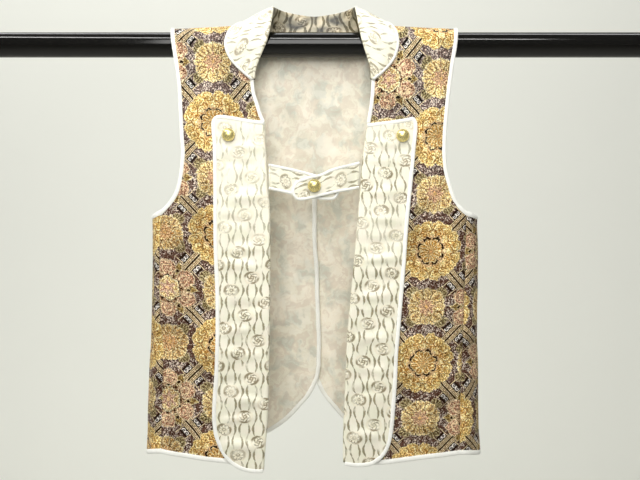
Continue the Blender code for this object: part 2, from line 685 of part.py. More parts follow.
def binding_armhole(side, coll):
    """A closed band: down the front, under the arm on the gusset, and up the back."""
    q = np.array(GUSSET_Q)[1:-1]
    top, band = gusset_top(side, q), gusset_band(side, q) * BIND_ARM
    under = [lay(gusset_point, side, np.full(2, qi), vi - np.array([0, 1.0]) * wi)
             for qi, vi, wi in zip(q, top, band)]
    marks = arm_marks(side)
    loop = (edge_rows(front_point, side, marks, BIND_ARM, 0.0) + under
            + edge_rows(back_point, side, marks, BIND_ARM, -0.65)[::-1][:-1])
    pts, faces = ribbon(loop, closed=True)
    thicken(weld(add_mesh("binding_armhole_" + SIDE_NAME[side], pts, faces, WHITE, coll)),
            BIND_WALL)


def binding_neck(side, coll):
    p, n = fold_marks(side)
    keep = (p[:, 1] > -87) & (p[:, 1] < -44.5)
    pts, faces = ribbon(edge_rows(front_point, side, (p[keep], n[keep]), BIND_NECK, 0.0))
    thicken(weld(add_mesh("binding_neck_" + SIDE_NAME[side], pts, faces, WHITE, coll)), BIND_WALL)


def binding_lapel(side, coll):
    pts, faces = ribbon(edge_rows(front_point, side, lapel_marks(side), BIND_LAPEL, LAPEL_LIFT))
    thicken(weld(add_mesh("binding_lapel_" + SIDE_NAME[side], pts, faces, WHITE, coll)),
            LAPEL_WALL + 0.3)


def binding_hem(side, coll):
    """Front hem from the fold, across the gusset, the back hem and up the vent."""
    front_part = edge_rows(front_point, side, front_hem_marks(side), BIND_HEM, 0.0)[::-1]
    q = np.array(GUSSET_Q)[1:-1]
    under = [lay(gusset_point, side, np.full(2, qi), vi + np.array([0, 1.0]) * BIND_HEM)
             for qi, vi in zip(q, gusset_bottom(side, q))]
    back_part = edge_rows(back_point, side, back_hem_marks(side), BIND_HEM, -0.65)
    p, n = vent_marks()
    keep = (p[:, 1] < VENT_TOP - 11) & (p[:, 1] < VENT_FOOT["v"][0] - 1e-6) | (
        (p[:, 1] > VENT_FOOT["v"][0] + 2) & (p[:, 1] < VENT_TOP - 11))
    vent_part = edge_rows(back_point, side, (p[keep], n[keep]), BIND_HEM, -0.65)
    pts, faces = ribbon(front_part + under + back_part + vent_part)
    thicken(weld(add_mesh("binding_hem_" + SIDE_NAME[side], pts, faces, WHITE, coll)), BIND_WALL)


def button(i, coll):
    """Domed button: a flat back, a short foot and a round head, turned about its axis."""
    name, side = BUTTONS["name"][i], BUTTONS["side"][i]
    if side:
        lift = LAPEL_LIFT + LAPEL_WALL / 2 + SEAM_GAP
        at = lay(front_point, side, BUTTONS["u"][i], BUTTONS["v"][i], lift)[0]
    else:
        x = BUTTONS["u"][i]
        at = np.array([x, float(strap_level(1, np.array([x]))[0]) - STRAP_WALL / 2 - SEAM_GAP,
                       BUTTONS["v"][i]])
    r, h = BUTTON_RADIUS, BUTTON_HEIGHT
    profile = [(0.0, h)]
    for k in range(1, 8):
        a = math.radians(90 - 15 * k)
        profile.append((r * math.cos(a), 2.0 + (h - 2.0) * max(math.sin(a), -0.2)))
    profile += [(r * 0.62, 0.0), (0.0, 0.0)]
    mesh = bpy.data.meshes.new(name)
    mesh.from_pydata([(x * MM, 0.0, z * MM) for x, z in profile],
                     [(k, k + 1) for k in range(len(profile) - 1)], [])
    obj = bpy.data.objects.new(name, mesh)
    coll.objects.link(obj)
    screw = obj.modifiers.new("turn", "SCREW")
    screw.steps = screw.render_steps = 16
    screw.use_merge_vertices = True
    screw.merge_threshold = 0.0001
    obj.rotation_euler = (math.radians(90), 0.0, 0.0)
    obj.location = tuple(float(c) * MM for c in at)
    mesh.materials.append(material(name + "_metal", *BRASS))
    return obj


def rod(coll):
    bpy.ops.mesh.primitive_cylinder_add(vertices=48, radius=ROD_RADIUS * MM,
                                        depth=ROD_LENGTH * MM, rotation=(0, math.pi / 2, 0))
    obj = bpy.context.active_object
    obj.name = obj.data.name = "rod"
    for c in list(obj.users_collection):
        c.objects.unlink(obj)
    coll.objects.link(obj)
    obj.data.shade_smooth()
    obj.data.set_sharp_from_angle(angle=math.radians(40))
    obj.data.materials.append(material("rod_gloss", *BLACK))
    return obj


def main():
    clear_scene()
    coll = bpy.data.collections.new("kimono_vest")
    bpy.context.scene.collection.children.link(coll)
    rod(coll)
    for side in (-1, 1):
        front(side, coll)
        gusset(side, coll)
        lapel(side, coll)
        strap(side, coll)
        binding_armhole(side, coll)
        binding_neck(side, coll)
        binding_lapel(side, coll)
        binding_hem(side, coll)
    back_sheet("back", BACK_WALL, 0.0, GOLD, coll, 1.3)
    back_sheet("back_lining", LINING_WALL,
               -(BACK_WALL / 2 + SEAM_GAP + LINING_WALL / 2), PALE, coll, 1.3)
    collar(coll)
    for i in range(len(BUTTONS["name"])):
        button(i, coll)


main()
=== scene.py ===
"""Look of the sleeveless kimono vest: cloth, bindings, buttons and the rod it hangs on.

The first half repeats the garment's own sizes, tables and hanging forms, in
millimetres.  The second half lays fine cloth on them, with its creases, rolled
lapels and padded bindings, and gives each its weave.
"""
import math

import bmesh
import bpy
import numpy as np
from mathutils.geometry import delaunay_2d_cdt
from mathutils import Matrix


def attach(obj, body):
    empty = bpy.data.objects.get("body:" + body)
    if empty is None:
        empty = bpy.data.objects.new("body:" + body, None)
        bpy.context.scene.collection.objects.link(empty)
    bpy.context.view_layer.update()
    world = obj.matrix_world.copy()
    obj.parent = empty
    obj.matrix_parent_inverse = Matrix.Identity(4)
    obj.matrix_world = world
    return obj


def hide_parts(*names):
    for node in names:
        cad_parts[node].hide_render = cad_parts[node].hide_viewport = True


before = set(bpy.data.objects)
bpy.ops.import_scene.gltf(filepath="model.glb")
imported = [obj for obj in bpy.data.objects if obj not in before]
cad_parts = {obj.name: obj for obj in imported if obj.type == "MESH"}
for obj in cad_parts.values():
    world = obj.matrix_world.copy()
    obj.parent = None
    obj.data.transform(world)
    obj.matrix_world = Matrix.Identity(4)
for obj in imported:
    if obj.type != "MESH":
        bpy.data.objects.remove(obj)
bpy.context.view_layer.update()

MM = 0.001
ROD_RADIUS = 14.0
ROD_LENGTH = 800.0
FRONT_WALL = 1.6          # brocade with its interlining
BACK_WALL = 1.6
LINING_WALL = 1.0
LAPEL_WALL = 1.6
LAPEL_LIFT = 2.4          # middle of the lapel's wall over the middle of the front's
COLLAR_WALL = 1.5
STRAP_WALL = 1.8
SEAM_GAP = 0.3            # between two sewn pieces
TOP_V = 30.0              # v of the shoulder seam
BIND_ARM = 4.0            # binding widths
BIND_NECK = 3.6
BIND_LAPEL = 4.0
BIND_HEM = 5.0
BIND_STRAP = 2.8
BIND_COLLAR = 3.0
BIND_WALL = 2.2
BUTTON_RADIUS = 7.2
BUTTON_HEIGHT = 8.6
LATTICE = 3.2            # spacing of the points that fill a panel
VENT_TOP = -142.0

# ----------------------------------------------------------------- tables
# depth of the cloth in front of and behind the rod's axis, by height
DEPTH = dict(
    v=(0, -30, -90, -150, -192, -260, -340, -400, -480),
    front=(15.6, 16.6, 19.5, 22.5, 25.0, 27.5, 30.0, 31.5, 33.0),
    back=(17.5, 18.3, 21.7, 26.2, 29.5, 34.0, 38.5, 41.0, 43.5))
# height of the shoulder seam over the rod's axis, by distance from the centre
SHOULDER = dict(u=(56, 90, 125, 162), height=(22.0, 20.4, 18.4, 16.8))
# armhole edge, top to underarm
ARMHOLE = dict(
    v=(30, 0, -30, -56, -81, -107, -122, -141, -160, -170, -178.5, -186.3, -190.5),
    right=(160.5, 157.5, 153, 150, 148.7, 147.2, 146, 147.5, 150.6, 154.5, 160.5, 168, 174),
    left=(160.8, 158.6, 153.8, 150.4, 147.7, 145.6, 145.2, 146.6, 151.4, 154.6, 159, 166.2, 174))
# side seam of the fronts and the outermost edge of the gusset behind it
SIDE = dict(
    v=(-180, -240, -300, -345, -400, -455),
    seam_right=(168, 170, 169, 165, 166, 167.5),
    edge_right=(181.5, 179.5, 181.5, 183, 185, 187.5),
    seam_left=(168, 166.5, 164.5, 162, 160, 159),
    edge_left=(182.5, 183, 183, 183, 183.5, 186.5))
# neck edge down to the lapel, then the lapel's fold down to the hem
FOLD = dict(
    v=(30, 15, 0, -20, -43, -56, -68, -81, -89, -107, -135, -163, -179, -197, -239, -285,
       -335, -366, -390, -428, -452, -472),
    right=(56, 58, 62, 65.5, 66.5, 65.2, 61.5, 57.5, 54.3, 53.7, 52.2, 50.9, 49, 48.3, 48.1, 48.1,
           48.8, 49.4, 49.8, 51.6, 53.4, 54.7),
    left=(56, 57, 60.5, 63, 63.8, 63.2, 62, 60, 58.6, 56.6, 53.2, 51.2, 49.8, 48.3, 44.7, 40.3,
          36.2, 35, 34, 32.4, 32.1, 33))
# hem of the fronts, by distance from the centre
HEM = dict(
    u=(30, 55, 75, 96, 115, 139, 164, 190),
    right=(-471, -470.5, -466.5, -461.8, -459.8, -456.3, -452.8, -446),
    left=(-461, -463.5, -463, -460.6, -458, -455.5, -453, -450.5))
# free edge of the lapel, top corner to hem, and then its rounded foot
LAPEL = dict(
    v=(-84, -88, -95, -116, -145, -170, -204, -239, -281, -322, -348, -369, -390, -409, -427),
    right=(110.4, 112.6, 112.4, 110.8, 110.1, 109.7, 109.5, 108.7, 107, 106.5, 107, 107.9, 109.5,
           110.1, 108.7),
    left=(111, 113, 113.6, 111.6, 109, 106.4, 102.9, 100.4, 96.8, 93.2, 91, 90.3, 88.8, 87.5, 85.6))
FOOT = dict(
    v_right=(-439.3, -452.2, -463, -469.5, -471.6, -471.4),
    right=(104.9, 98.7, 88.8, 76.4, 63.9, 55),
    v_left=(-438, -449, -458.7, -464.2, -465.2, -463.4),
    left=(83.4, 79, 70.7, 59.7, 47.3, 33))
LAPEL_TOP = dict(u=(50, 58, 71, 90, 103, 111), right=(-89, -88.5, -86.9, -83.6, -82, -83.4),
                 left=(-92.5, -91.8, -90, -87.6, -85.4, -83.4))
# centre vent of the back: where the two edges hang, and how far the halves part in depth
VENT = dict(
    v=(-142, -152, -160, -173, -225, -248, -285, -342, -366, -470),
    right=(0, -0.3, -0.3, 2.1, 2.8, 4.8, 5.8, 7.6, 7.2, 7.2),
    left=(0, 0.3, 0.3, -0.9, -1.5, -1.8, -1.8, -1.8, -1.8, -1.8),
    part=(0, 0.9, 1.9, 2.1, 2.2, 2.3, 2.3, 2.4, 2.4, 2.4))
VENT_FOOT = dict(
    u=(0, 2, 5.3, 12, 23, 36, 49.7, 57.8, 80, 115, 172),
    v=(-366, -378, -387, -400, -414, -429, -440, -445, -448.5, -450.5, -451))
BACK_NECK = dict(u=(0, 25, 44, 53.5, 56), v=(6, 7, 12, 20, 30))
# collar, from its front point (row 0) round to the centre back; face -1 lies on the
# fronts and +1 on the back; roll is the line where the stand turns down into the fall
COLLAR = dict(
    neck_face=(-1, -1, -1, -1, -1, -1, 1, 1, 1, 1, 1, 1, 1),
    neck_v=(-42.5, -32, -18, -3, 9, 20, 29.6, 24, 18, 13.5, 9.5, 7, 6),
    neck_right=(66.2, 66.0, 65.0, 62.5, 59.5, 57.3, 56, 55.0, 52.2, 47, 38, 22, 0),
    neck_left=(63.6, 63.4, 62.6, 60.8, 58.4, 56.8, 56, 55.0, 52.2, 47, 38, 22, 0),
    roll_right=(65.6, 62.6, 57.2, 52.0, 48.4, 46.2, 45.0, 43.8, 41.2, 36.5, 29, 16, 0),
    roll_left=(63.2, 61.0, 57.0, 53.2, 50.0, 47.6, 45.8, 43.9, 41.2, 36.5, 29, 16, 0),
    roll_y=(-19.0, -19.6, -19.8, -19.4, -17.0, -11.0, -2.0, 4.5, 10.5, 15.8, 19.6, 21.8, 22.5),
    roll_z=(-41.0, -27.5, -13.5, -1.0, 13.5, 28, 40.5, 42.6, 42.8, 42.0, 40.8, 38.8, 37.4),
    edge_face=(-1, -1, -1, -1, -1, -1, -1, 1, 1, 1, 1, 1, 1),
    edge_v=(-43.0, -34, -20, -4, 9.5, 19.5, 29.0, 21, 12, 4, -3, -9, -12),
    edge_right=(69.5, 80, 93, 99.0, 96.0, 89.0, 81, 80, 79, 76, 68, 42, 0),
    edge_left=(66.8, 77.5, 89, 94.0, 92.5, 87.5, 81.5, 80.5, 79, 76, 68, 42, 0))
# chest tabs: centre line and half height along x, the free end last; the wearer's
# right tab lies under the left one
STRAP_RIGHT = dict(
    x=(-49.6, -40, -26, -8, 10, 19, 24, 26.5),
    mid=(-149.6, -151.6, -154.6, -158.6, -162.4, -164.0, -164.8, -165.2),
    half=(14.0, 14.1, 14.2, 13.8, 12.6, 11.2, 8.6, 4.6))
STRAP_LEFT = dict(
    x=(49.8, 36, 19, 7, -6, -14, -19.6, -22.6),
    mid=(-148.0, -151.2, -155.2, -159.4, -162.6, -164.2, -165.2, -165.8),
    half=(14.6, 14.2, 13.6, 12.2, 12.2, 11.6, 9.6, 5.0))
BUTTONS = dict(name=("button_lapel_right", "button_lapel_left", "button_strap"),
               side=(-1, 1, 0), u=(93.6, 97.4, 0.5), v=(-104.1, -104.9, -160.0))

SIDE_NAME = {-1: "right", 1: "left"}


# --------------------------------------------------------- curves and tables
def smooth(xs, ys, at):
    """Monotone cubic through the table's points, level or straight beyond its ends."""
    xs, ys = np.asarray(xs, float), np.asarray(ys, float)
    if xs[0] > xs[-1]:
        xs, ys = xs[::-1], ys[::-1]
    at = np.clip(np.asarray(at, float), xs[0], xs[-1])
    h = np.diff(xs)
    slope = np.diff(ys) / h
    m = np.zeros(len(xs))
    m[0], m[-1] = slope[0], slope[-1]
    for i in range(1, len(xs) - 1):
        if slope[i - 1] * slope[i] > 0:
            w1, w2 = 2 * h[i] + h[i - 1], h[i] + 2 * h[i - 1]
            m[i] = (w1 + w2) / (w1 / slope[i - 1] + w2 / slope[i])
    i = np.clip(np.searchsorted(xs, at, side="right") - 1, 0, len(xs) - 2)
    t = (at - xs[i]) / h[i]
    return ((2 * t**3 - 3 * t**2 + 1) * ys[i] + (t**3 - 2 * t**2 + t) * h[i] * m[i]
            + (-2 * t**3 + 3 * t**2) * ys[i + 1] + (t**3 - t**2) * h[i] * m[i + 1])


def column(table, side):
    return table[SIDE_NAME[side]]


def ease(x):
    x = np.clip(x, 0.0, 1.0)
    return x * x * (3 - 2 * x)


def spline_path(us, vs, step=1.0):
    """Smooth curve through a short list of points, as a dense path."""
    us, vs = np.asarray(us, float), np.asarray(vs, float)
    t = np.concatenate([[0], np.cumsum(np.hypot(np.diff(us), np.diff(vs)))])
    at = np.linspace(0, t[-1], max(2, int(t[-1] / step) + 1))
    return np.column_stack([smooth(t, us, at), smooth(t, vs, at)])


# ------------------------------------------------------------ hanging forms
def arch(u, v, depth):
    """Cloth over the rod: a quarter ellipse from the rod's level to the seam."""
    phi = np.clip(v / TOP_V, 0, 1) * math.pi / 2
    height = smooth(SHOULDER["u"], SHOULDER["height"], u)
    return depth * np.cos(phi), height * np.sin(phi)


def front_point(side, u, v):
    low = np.minimum(v, 0.0)
    depth = smooth(DEPTH["v"], DEPTH["front"], low)
    depth = depth - 4.5 * ease((-low - 90) / 110) * np.clip((u - 110) / 58, 0, 1.4) ** 2
    y, z = arch(u, v, depth)
    return np.column_stack([side * u, -y, np.where(v > 0, z, v)])


def back_point(side, u, v):
    low = np.minimum(v, 0.0)
    depth = smooth(DEPTH["v"], DEPTH["back"], low)
    depth = depth - 3.0 * ease((-low - 90) / 110) * np.clip((u - 110) / 58, 0, 1.4) ** 2
    shift = smooth(VENT["v"], column(VENT, side), low)
    part = side * smooth(VENT["v"], VENT["part"], low)
    fall = 1 - ease(u / 95.0)
    y, z = arch(u, v, depth)
    return np.column_stack([side * u + shift * fall, y + part * (1 - ease(u / 60.0)),
                            np.where(v > 0, z, v)])


def gusset_point(side, q, v):
    """q runs from the front seam (0) round the side to the back seam (1)."""
    name = SIDE_NAME[side]
    seam = smooth(SIDE["v"], SIDE["seam_" + name], v)
    edge = smooth(SIDE["v"], SIDE["edge_" + name], v)
    a, b = front_point(side, seam, v), back_point(side, seam, v)
    turn = np.sin(math.pi * q)
    y = a[:, 1] + (b[:, 1] - a[:, 1]) * (1 - np.cos(math.pi * q)) / 2
    return np.column_stack([side * (seam + (edge - seam) * turn), y, v])


def normals(form, side, u, v, out, e=0.4):
    scale = 0.004 if form is gusset_point else 1.0
    du = form(side, u + e * scale, v) - form(side, u - e * scale, v)
    dv = form(side, u, np.minimum(v + e, TOP_V)) - form(side, u, np.minimum(v + e, TOP_V) - 2 * e)
    n = np.cross(du, dv)
    n /= np.maximum(np.linalg.norm(n, axis=1), 1e-9)[:, None]
    flip = np.where(n @ np.asarray(out, float) < 0, -1.0, 1.0)
    return n * flip[:, None]


def lay(form, side, u, v, lift=0.0):
    """Point of the form at (u, v), moved out of the cloth by lift."""
    u, v = np.atleast_1d(np.asarray(u, float)), np.atleast_1d(np.asarray(v, float))
    u, v = np.broadcast_arrays(u, v)
    out = {front_point: (0, -1, 0.3), back_point: (0, 1, 0.3)}.get(form, (side, 0, 0))
    return form(side, u, v) + normals(form, side, u, v, out) * np.reshape(lift, (-1, 1))


def seam_u(side, v):
    return smooth(SIDE["v"], SIDE["seam_" + SIDE_NAME[side]], v)


# ---------------------------------------------------------------- outlines
# Each edge is a dense path in (u, v), run clockwise, so its inside is on the right.
def edge_shoulder(side):
    u0, u1 = FOLD["right"][0], column(ARMHOLE, side)[0]
    u = np.linspace(u0, u1, 60)
    return np.column_stack([u, np.full_like(u, TOP_V)])


def edge_armhole(side):
    v = np.linspace(TOP_V, ARMHOLE["v"][-1], 400)
    u = smooth(ARMHOLE["v"], column(ARMHOLE, side), v)
    keep = u <= seam_u(side, v) + 0.01
    keep[: 200] = True
    return np.column_stack([u, v])[keep]


def edge_side(side, top, bottom):
    v = np.linspace(top, bottom, 300)
    return np.column_stack([seam_u(side, v), v])


def edge_front_hem(side):
    u1 = float(seam_u(side, -453.0))
    u0 = column(FOLD, side)[-1]
    u = np.linspace(u1, u0, 160)
    return np.column_stack([u, smooth(HEM["u"], column(HEM, side), u)])


def edge_fold(side, bottom):
    v = np.linspace(bottom, TOP_V, 500)
    return np.column_stack([smooth(FOLD["v"], column(FOLD, side), v), v])


def edge_back_hem(side):
    path = spline_path(VENT_FOOT["u"][::-1], VENT_FOOT["v"][::-1])
    return path[path[:, 0] <= float(seam_u(side, -451.0)) + 0.01]


def edge_vent(top):
    v = np.linspace(VENT_FOOT["v"][0], top, 200)
    return np.column_stack([np.zeros_like(v), v])


def edge_back_neck():
    u = np.concatenate([np.linspace(0, 50, 50), np.linspace(50.5, 56, 40)])
    return np.column_stack([u, smooth(BACK_NECK["u"], BACK_NECK["v"], u)])


def edge_lapel(side):
    """Top edge from the fold outwards, down the free edge, round the foot to the fold."""
    top_u = np.linspace(float(smooth(FOLD["v"], column(FOLD, side), -89.0)),
                        column(LAPEL, side)[0] - 0.8, 60)
    top = np.column_stack([top_u, smooth(LAPEL_TOP["u"], column(LAPEL_TOP, side), top_u)])
    us = list(column(LAPEL, side)) + list(column(FOOT, side))
    vs = list(LAPEL["v"]) + list(FOOT["v_" + SIDE_NAME[side]])
    return top, spline_path(us[1:], vs[1:])


def inward(path):
    d = np.gradient(path, axis=0)
    d /= np.maximum(np.linalg.norm(d, axis=1), 1e-9)[:, None]
    return np.column_stack([d[:, 1], -d[:, 0]])


def carry_on(path, reach=9.0):
    """Path with its ends carried on straight, for the corner cut."""
    head = path[0] - (path[1] - path[0]) / np.linalg.norm(path[1] - path[0]) * reach
    tail = path[-1] + (path[-1] - path[-2]) / np.linalg.norm(path[-1] - path[-2]) * reach
    return np.vstack([head, path, tail])


def crossing(a, b):
    """Last place where path a meets path b: (index in a, index in b, point)."""
    p, r = a[:-1], np.diff(a, axis=0)
    q, s = b[:-1], np.diff(b, axis=0)
    cross = r[:, None, 0] * s[None, :, 1] - r[:, None, 1] * s[None, :, 0]
    qp = q[None] - p[:, None]
    with np.errstate(divide="ignore", invalid="ignore"):
        t = (qp[..., 0] * s[None, :, 1] - qp[..., 1] * s[None, :, 0]) / cross
        w = (qp[..., 0] * r[:, None, 1] - qp[..., 1] * r[:, None, 0]) / cross
    hit = np.argwhere((t >= 0) & (t <= 1) & (w >= 0) & (w <= 1))
    if not len(hit):
        return None
    i, j = hit[-1]
    return i, j, p[i] + r[i] * t[i, j]


def outline(edges):
    """Corner-to-corner outline of the marked edges [(marks, inset)], moved inside."""
    moved = [carry_on(p + n * np.reshape(by, (-1, 1))) for (p, n), by in edges]
    corners = []
    for k in range(len(moved)):
        after = moved[(k + 1) % len(moved)]
        hit = crossing(moved[k], after)
        corners.append(hit if hit else (len(moved[k]) - 2, 0, (moved[k][-2] + after[1]) / 2))
    ring = []
    for k in range(len(moved)):
        start, end = corners[k - 1], corners[k]
        ring += [start[2]] + list(moved[k][start[1] + 1: end[0] + 1])
    keep = [ring[0]]
    for p in ring[1:]:
        if np.linalg.norm(p - keep[-1]) > 0.8:
            keep.append(p)
    return np.array(keep)


def upright(marks, end):
    """The mark at a side seam points along the seam, so that front, gusset and back meet."""
    p, n = marks[0].copy(), marks[1].copy()
    n[end] = (0.0, math.copysign(1.0 / abs(n[end][1]), n[end][1]))
    return p, n


def inside(poly, pts):
    x, y = pts[:, 0], pts[:, 1]
    c = np.zeros(len(pts), bool)
    for a, b in zip(poly, np.roll(poly, -1, axis=0)):
        cond = (a[1] > y) != (b[1] > y)
        with np.errstate(divide="ignore", invalid="ignore"):
            xi = (b[0] - a[0]) * (y - a[1]) / (b[1] - a[1]) + a[0]
        c ^= cond & (x < xi)
    return c


def clear_of(poly, pts, least):
    best = np.full(len(pts), 1e9)
    for a, b in zip(poly, np.roll(poly, -1, axis=0)):
        d = b - a
        t = np.clip(((pts - a) @ d) / max(d @ d, 1e-9), 0, 1)
        best = np.minimum(best, np.linalg.norm(pts - a - t[:, None] * d, axis=1))
    return best > least




# ------------------------------------------------------------ fine cloth
STEP = 3.0
STRIP = 2.2
FRONT_OUT, BACK_OUT = (0, -1, 0.3), (0, 1, 0.3)

# Creases: ends (u, v), bow of the line, height (trough below 0), width.
# Those of the fronts, by the wearer's side
FRONT_CREASES = {
    -1: dict(u0=(150, 118, 160, 128, 96, 163, 140, 120, 156, 100),
             v0=(-25, -12, -205, -190, -255, -330, -385, -300, -262, -420),
             u1=(140, 132, 150, 121, 104, 152, 150, 143, 118, 150),
             v1=(-128, -60, -352, -340, -372, -452, -458, -318, -276, -432),
             bow=(3, -2, 5, -6, 4, -3, 2, 3, -4, 3),
             height=(1.2, -1.0, 2.2, -1.8, 1.4, -1.5, 1.6, -0.7, 0.6, -0.8),
             width=(11, 9, 10, 15, 13, 9, 10, 6, 7, 8)),
    1: dict(u0=(148, 122, 158, 132, 112, 160, 128, 150, 110, 146),
            v0=(-30, -8, -198, -215, -150, -318, -350, -276, -236, -402),
            u1=(141, 134, 146, 118, 118, 150, 136, 114, 152, 108),
            v1=(-120, -66, -335, -330, -250, -446, -452, -290, -248, -416),
            bow=(-3, 2, -5, 6, 3, 4, -3, 4, -3, -4),
            height=(1.0, -1.1, 2.0, -1.6, -1.2, -1.7, 1.8, -0.8, 0.7, -0.9),
            width=(10, 9, 11, 14, 12, 10, 12, 6, 7, 7))}
# ripples across the lapels, seen as bright and dull bands
LAPEL_CREASES = {
    -1: dict(u0=(52, 60, 50, 70, 52, 58, 51, 64, 54, 66, 54, 60, 56, 84, 75),
             v0=(-118, -136, -172, -200, -228, -252, -288, -318, -345, -372, -398, -411, -447, -120, -300),
             u1=(104, 108, 100, 107, 96, 106, 98, 104, 100, 106, 88, 104, 102, 80, 82),
             v1=(-122, -131, -178, -195, -233, -247, -292, -321, -339, -377, -393, -414, -441, -190, -380),
             bow=(2, -2, 3, -1, 2, 3, -3, 2, -2, 2, 2, -1, 2, 2, -3),
             height=(0.7, -0.6, 0.9, -0.6, 0.7, 0.8, -0.7, 0.7, 0.9, -0.6, 1.0, 0.8, 1.0, 0.6, -0.6),
             width=(5, 4, 6, 4, 5, 4.5, 5, 4, 4.5, 4, 4, 3, 4.5, 9, 10)),
    1: dict(u0=(62, 58, 56, 60, 52, 50, 56, 44, 48, 40, 44, 36, 40, 78, 60),
            v0=(-112, -140, -166, -196, -222, -243, -259, -280, -304, -330, -356, -388, -428, -130, -280),
            u1=(106, 100, 104, 98, 99, 96, 94, 90, 92, 84, 82, 84, 74, 76, 58),
            v1=(-109, -144, -161, -201, -218, -240, -264, -276, -309, -326, -361, -383, -431, -210, -380),
            bow=(-2, 2, -3, 2, -2, 2, -1, -3, 3, 2, -2, 2, -2, 2, 3),
            height=(0.8, -0.6, 0.8, 0.7, -0.6, 1.0, -0.7, 0.8, -0.6, 0.9, 0.7, -0.6, 0.8, 0.6, -0.6),
            width=(5, 4, 5.5, 4.5, 4, 4, 4, 5, 4, 5, 4.5, 4, 5, 9, 10))}
# long soft folds of the back, on both of its sides
BACK_CREASES = {
    -1: dict(u0=(28, 70, 118, 150, 52, 96, 20, 140),
             v0=(-45, -60, -50, -190, -215, -240, -300, -330),
             u1=(22, 84, 112, 158, 66, 90, 26, 132),
             v1=(-250, -300, -240, -430, -430, -440, -420, -446),
             bow=(4, -5, 4, -3, 5, -4, 3, 4),
             height=(1.6, -1.8, 1.5, 1.9, 1.7, -1.9, -1.5, -1.6),
             width=(13, 17, 14, 12, 15, 14, 10, 11)),
    1: dict(u0=(34, 78, 124, 148, 48, 102, 24, 128),
            v0=(-40, -70, -44, -210, -230, -220, -280, -320),
            u1=(26, 70, 116, 156, 60, 108, 30, 138),
            v1=(-230, -280, -250, -436, -420, -440, -430, -446),
            bow=(-4, 5, -4, 4, -5, 4, -3, -4),
            height=(1.4, -1.6, 1.6, 1.8, 1.8, -1.7, -1.6, -1.5),
            width=(12, 16, 15, 12, 14, 15, 10, 12))}
# puckers of the lining, seen through the open front
LINING_CREASES = dict(
    u0=(-40, 35, -8, 48, -52, 12, -30, 44, -14, 30, -48, 20, -36, 52, -20, 6),
    v0=(-60, -66, -84, -96, -104, -118, -136, -140, -196, -206, -226, -240, -262, -284, -312, -340),
    u1=(-12, 8, 30, 20, -26, 40, -4, 16, -44, 8, -22, 46, -8, 24, -40, 34),
    v1=(-84, -84, -70, -128, -140, -98, -118, -170, -224, -238, -250, -214, -296, -310, -350, -364),
    bow=(3, -3, 4, -4, 3, -2, 3, 4, -3, 3, -3, 3, 4, -4, 3, -3),
    height=(1.1, 0.9, -0.6, 1.0, 0.8, -0.7, 1.0, 0.9, 1.1, -0.6, 0.8, 0.9, 1.0, 0.8, -0.6, 0.9),
    width=(6, 5, 7, 6, 5, 7, 6, 5, 7, 6, 5, 6, 7, 6, 7, 6))
# the gussets: q across, v down
GUSSET_CREASES = dict(q0=(0.3, 0.6, 0.45, 0.7), v0=(-200, -230, -330, -370),
                      q1=(0.5, 0.55, 0.3, 0.5), v1=(-300, -350, -440, -448),
                      height=(0.8, -0.9, 0.9, -0.8), width=(0.12, 0.14, 0.12, 0.13))


def crease_lift(table, u, v):
    """Sum of soft ridges and troughs, each fading at its ends, with low shoulders."""
    out = np.zeros_like(u)
    for u0, v0, u1, v1, bow, height, width in zip(*(table[k] for k in
                                                    ("u0", "v0", "u1", "v1", "bow", "height", "width"))):
        du, dv = u1 - u0, v1 - v0
        length = math.hypot(du, dv)
        s = ((u - u0) * du + (v - v0) * dv) / length**2
        off = ((u - u0) * -dv + (v - v0) * du) / length - bow * 4 * s * (1 - s)
        w = width * (0.8 + 0.4 * np.clip(s, 0, 1))
        fade = ease(s / 0.3) * ease((1 - s) / 0.3)
        out += height * fade * (np.exp(-(off / w) ** 2) - 0.35 * np.exp(-((off - 1.9 * w) / (1.2 * w)) ** 2))
    return out


def drift(u, v, seed, scale):
    """Slow uneven swell of cloth, between -1 and 1, from a few slanting waves."""
    rng = np.random.default_rng(seed)
    out = np.zeros_like(u)
    for k in range(6):
        a, ph = rng.uniform(0, math.pi), rng.uniform(0, 2 * math.pi)
        f = 2 * math.pi / (scale * rng.uniform(0.6, 1.7))
        out += np.sin((u * math.cos(a) + 0.6 * v * math.sin(a)) * f + ph)
    return out / 6


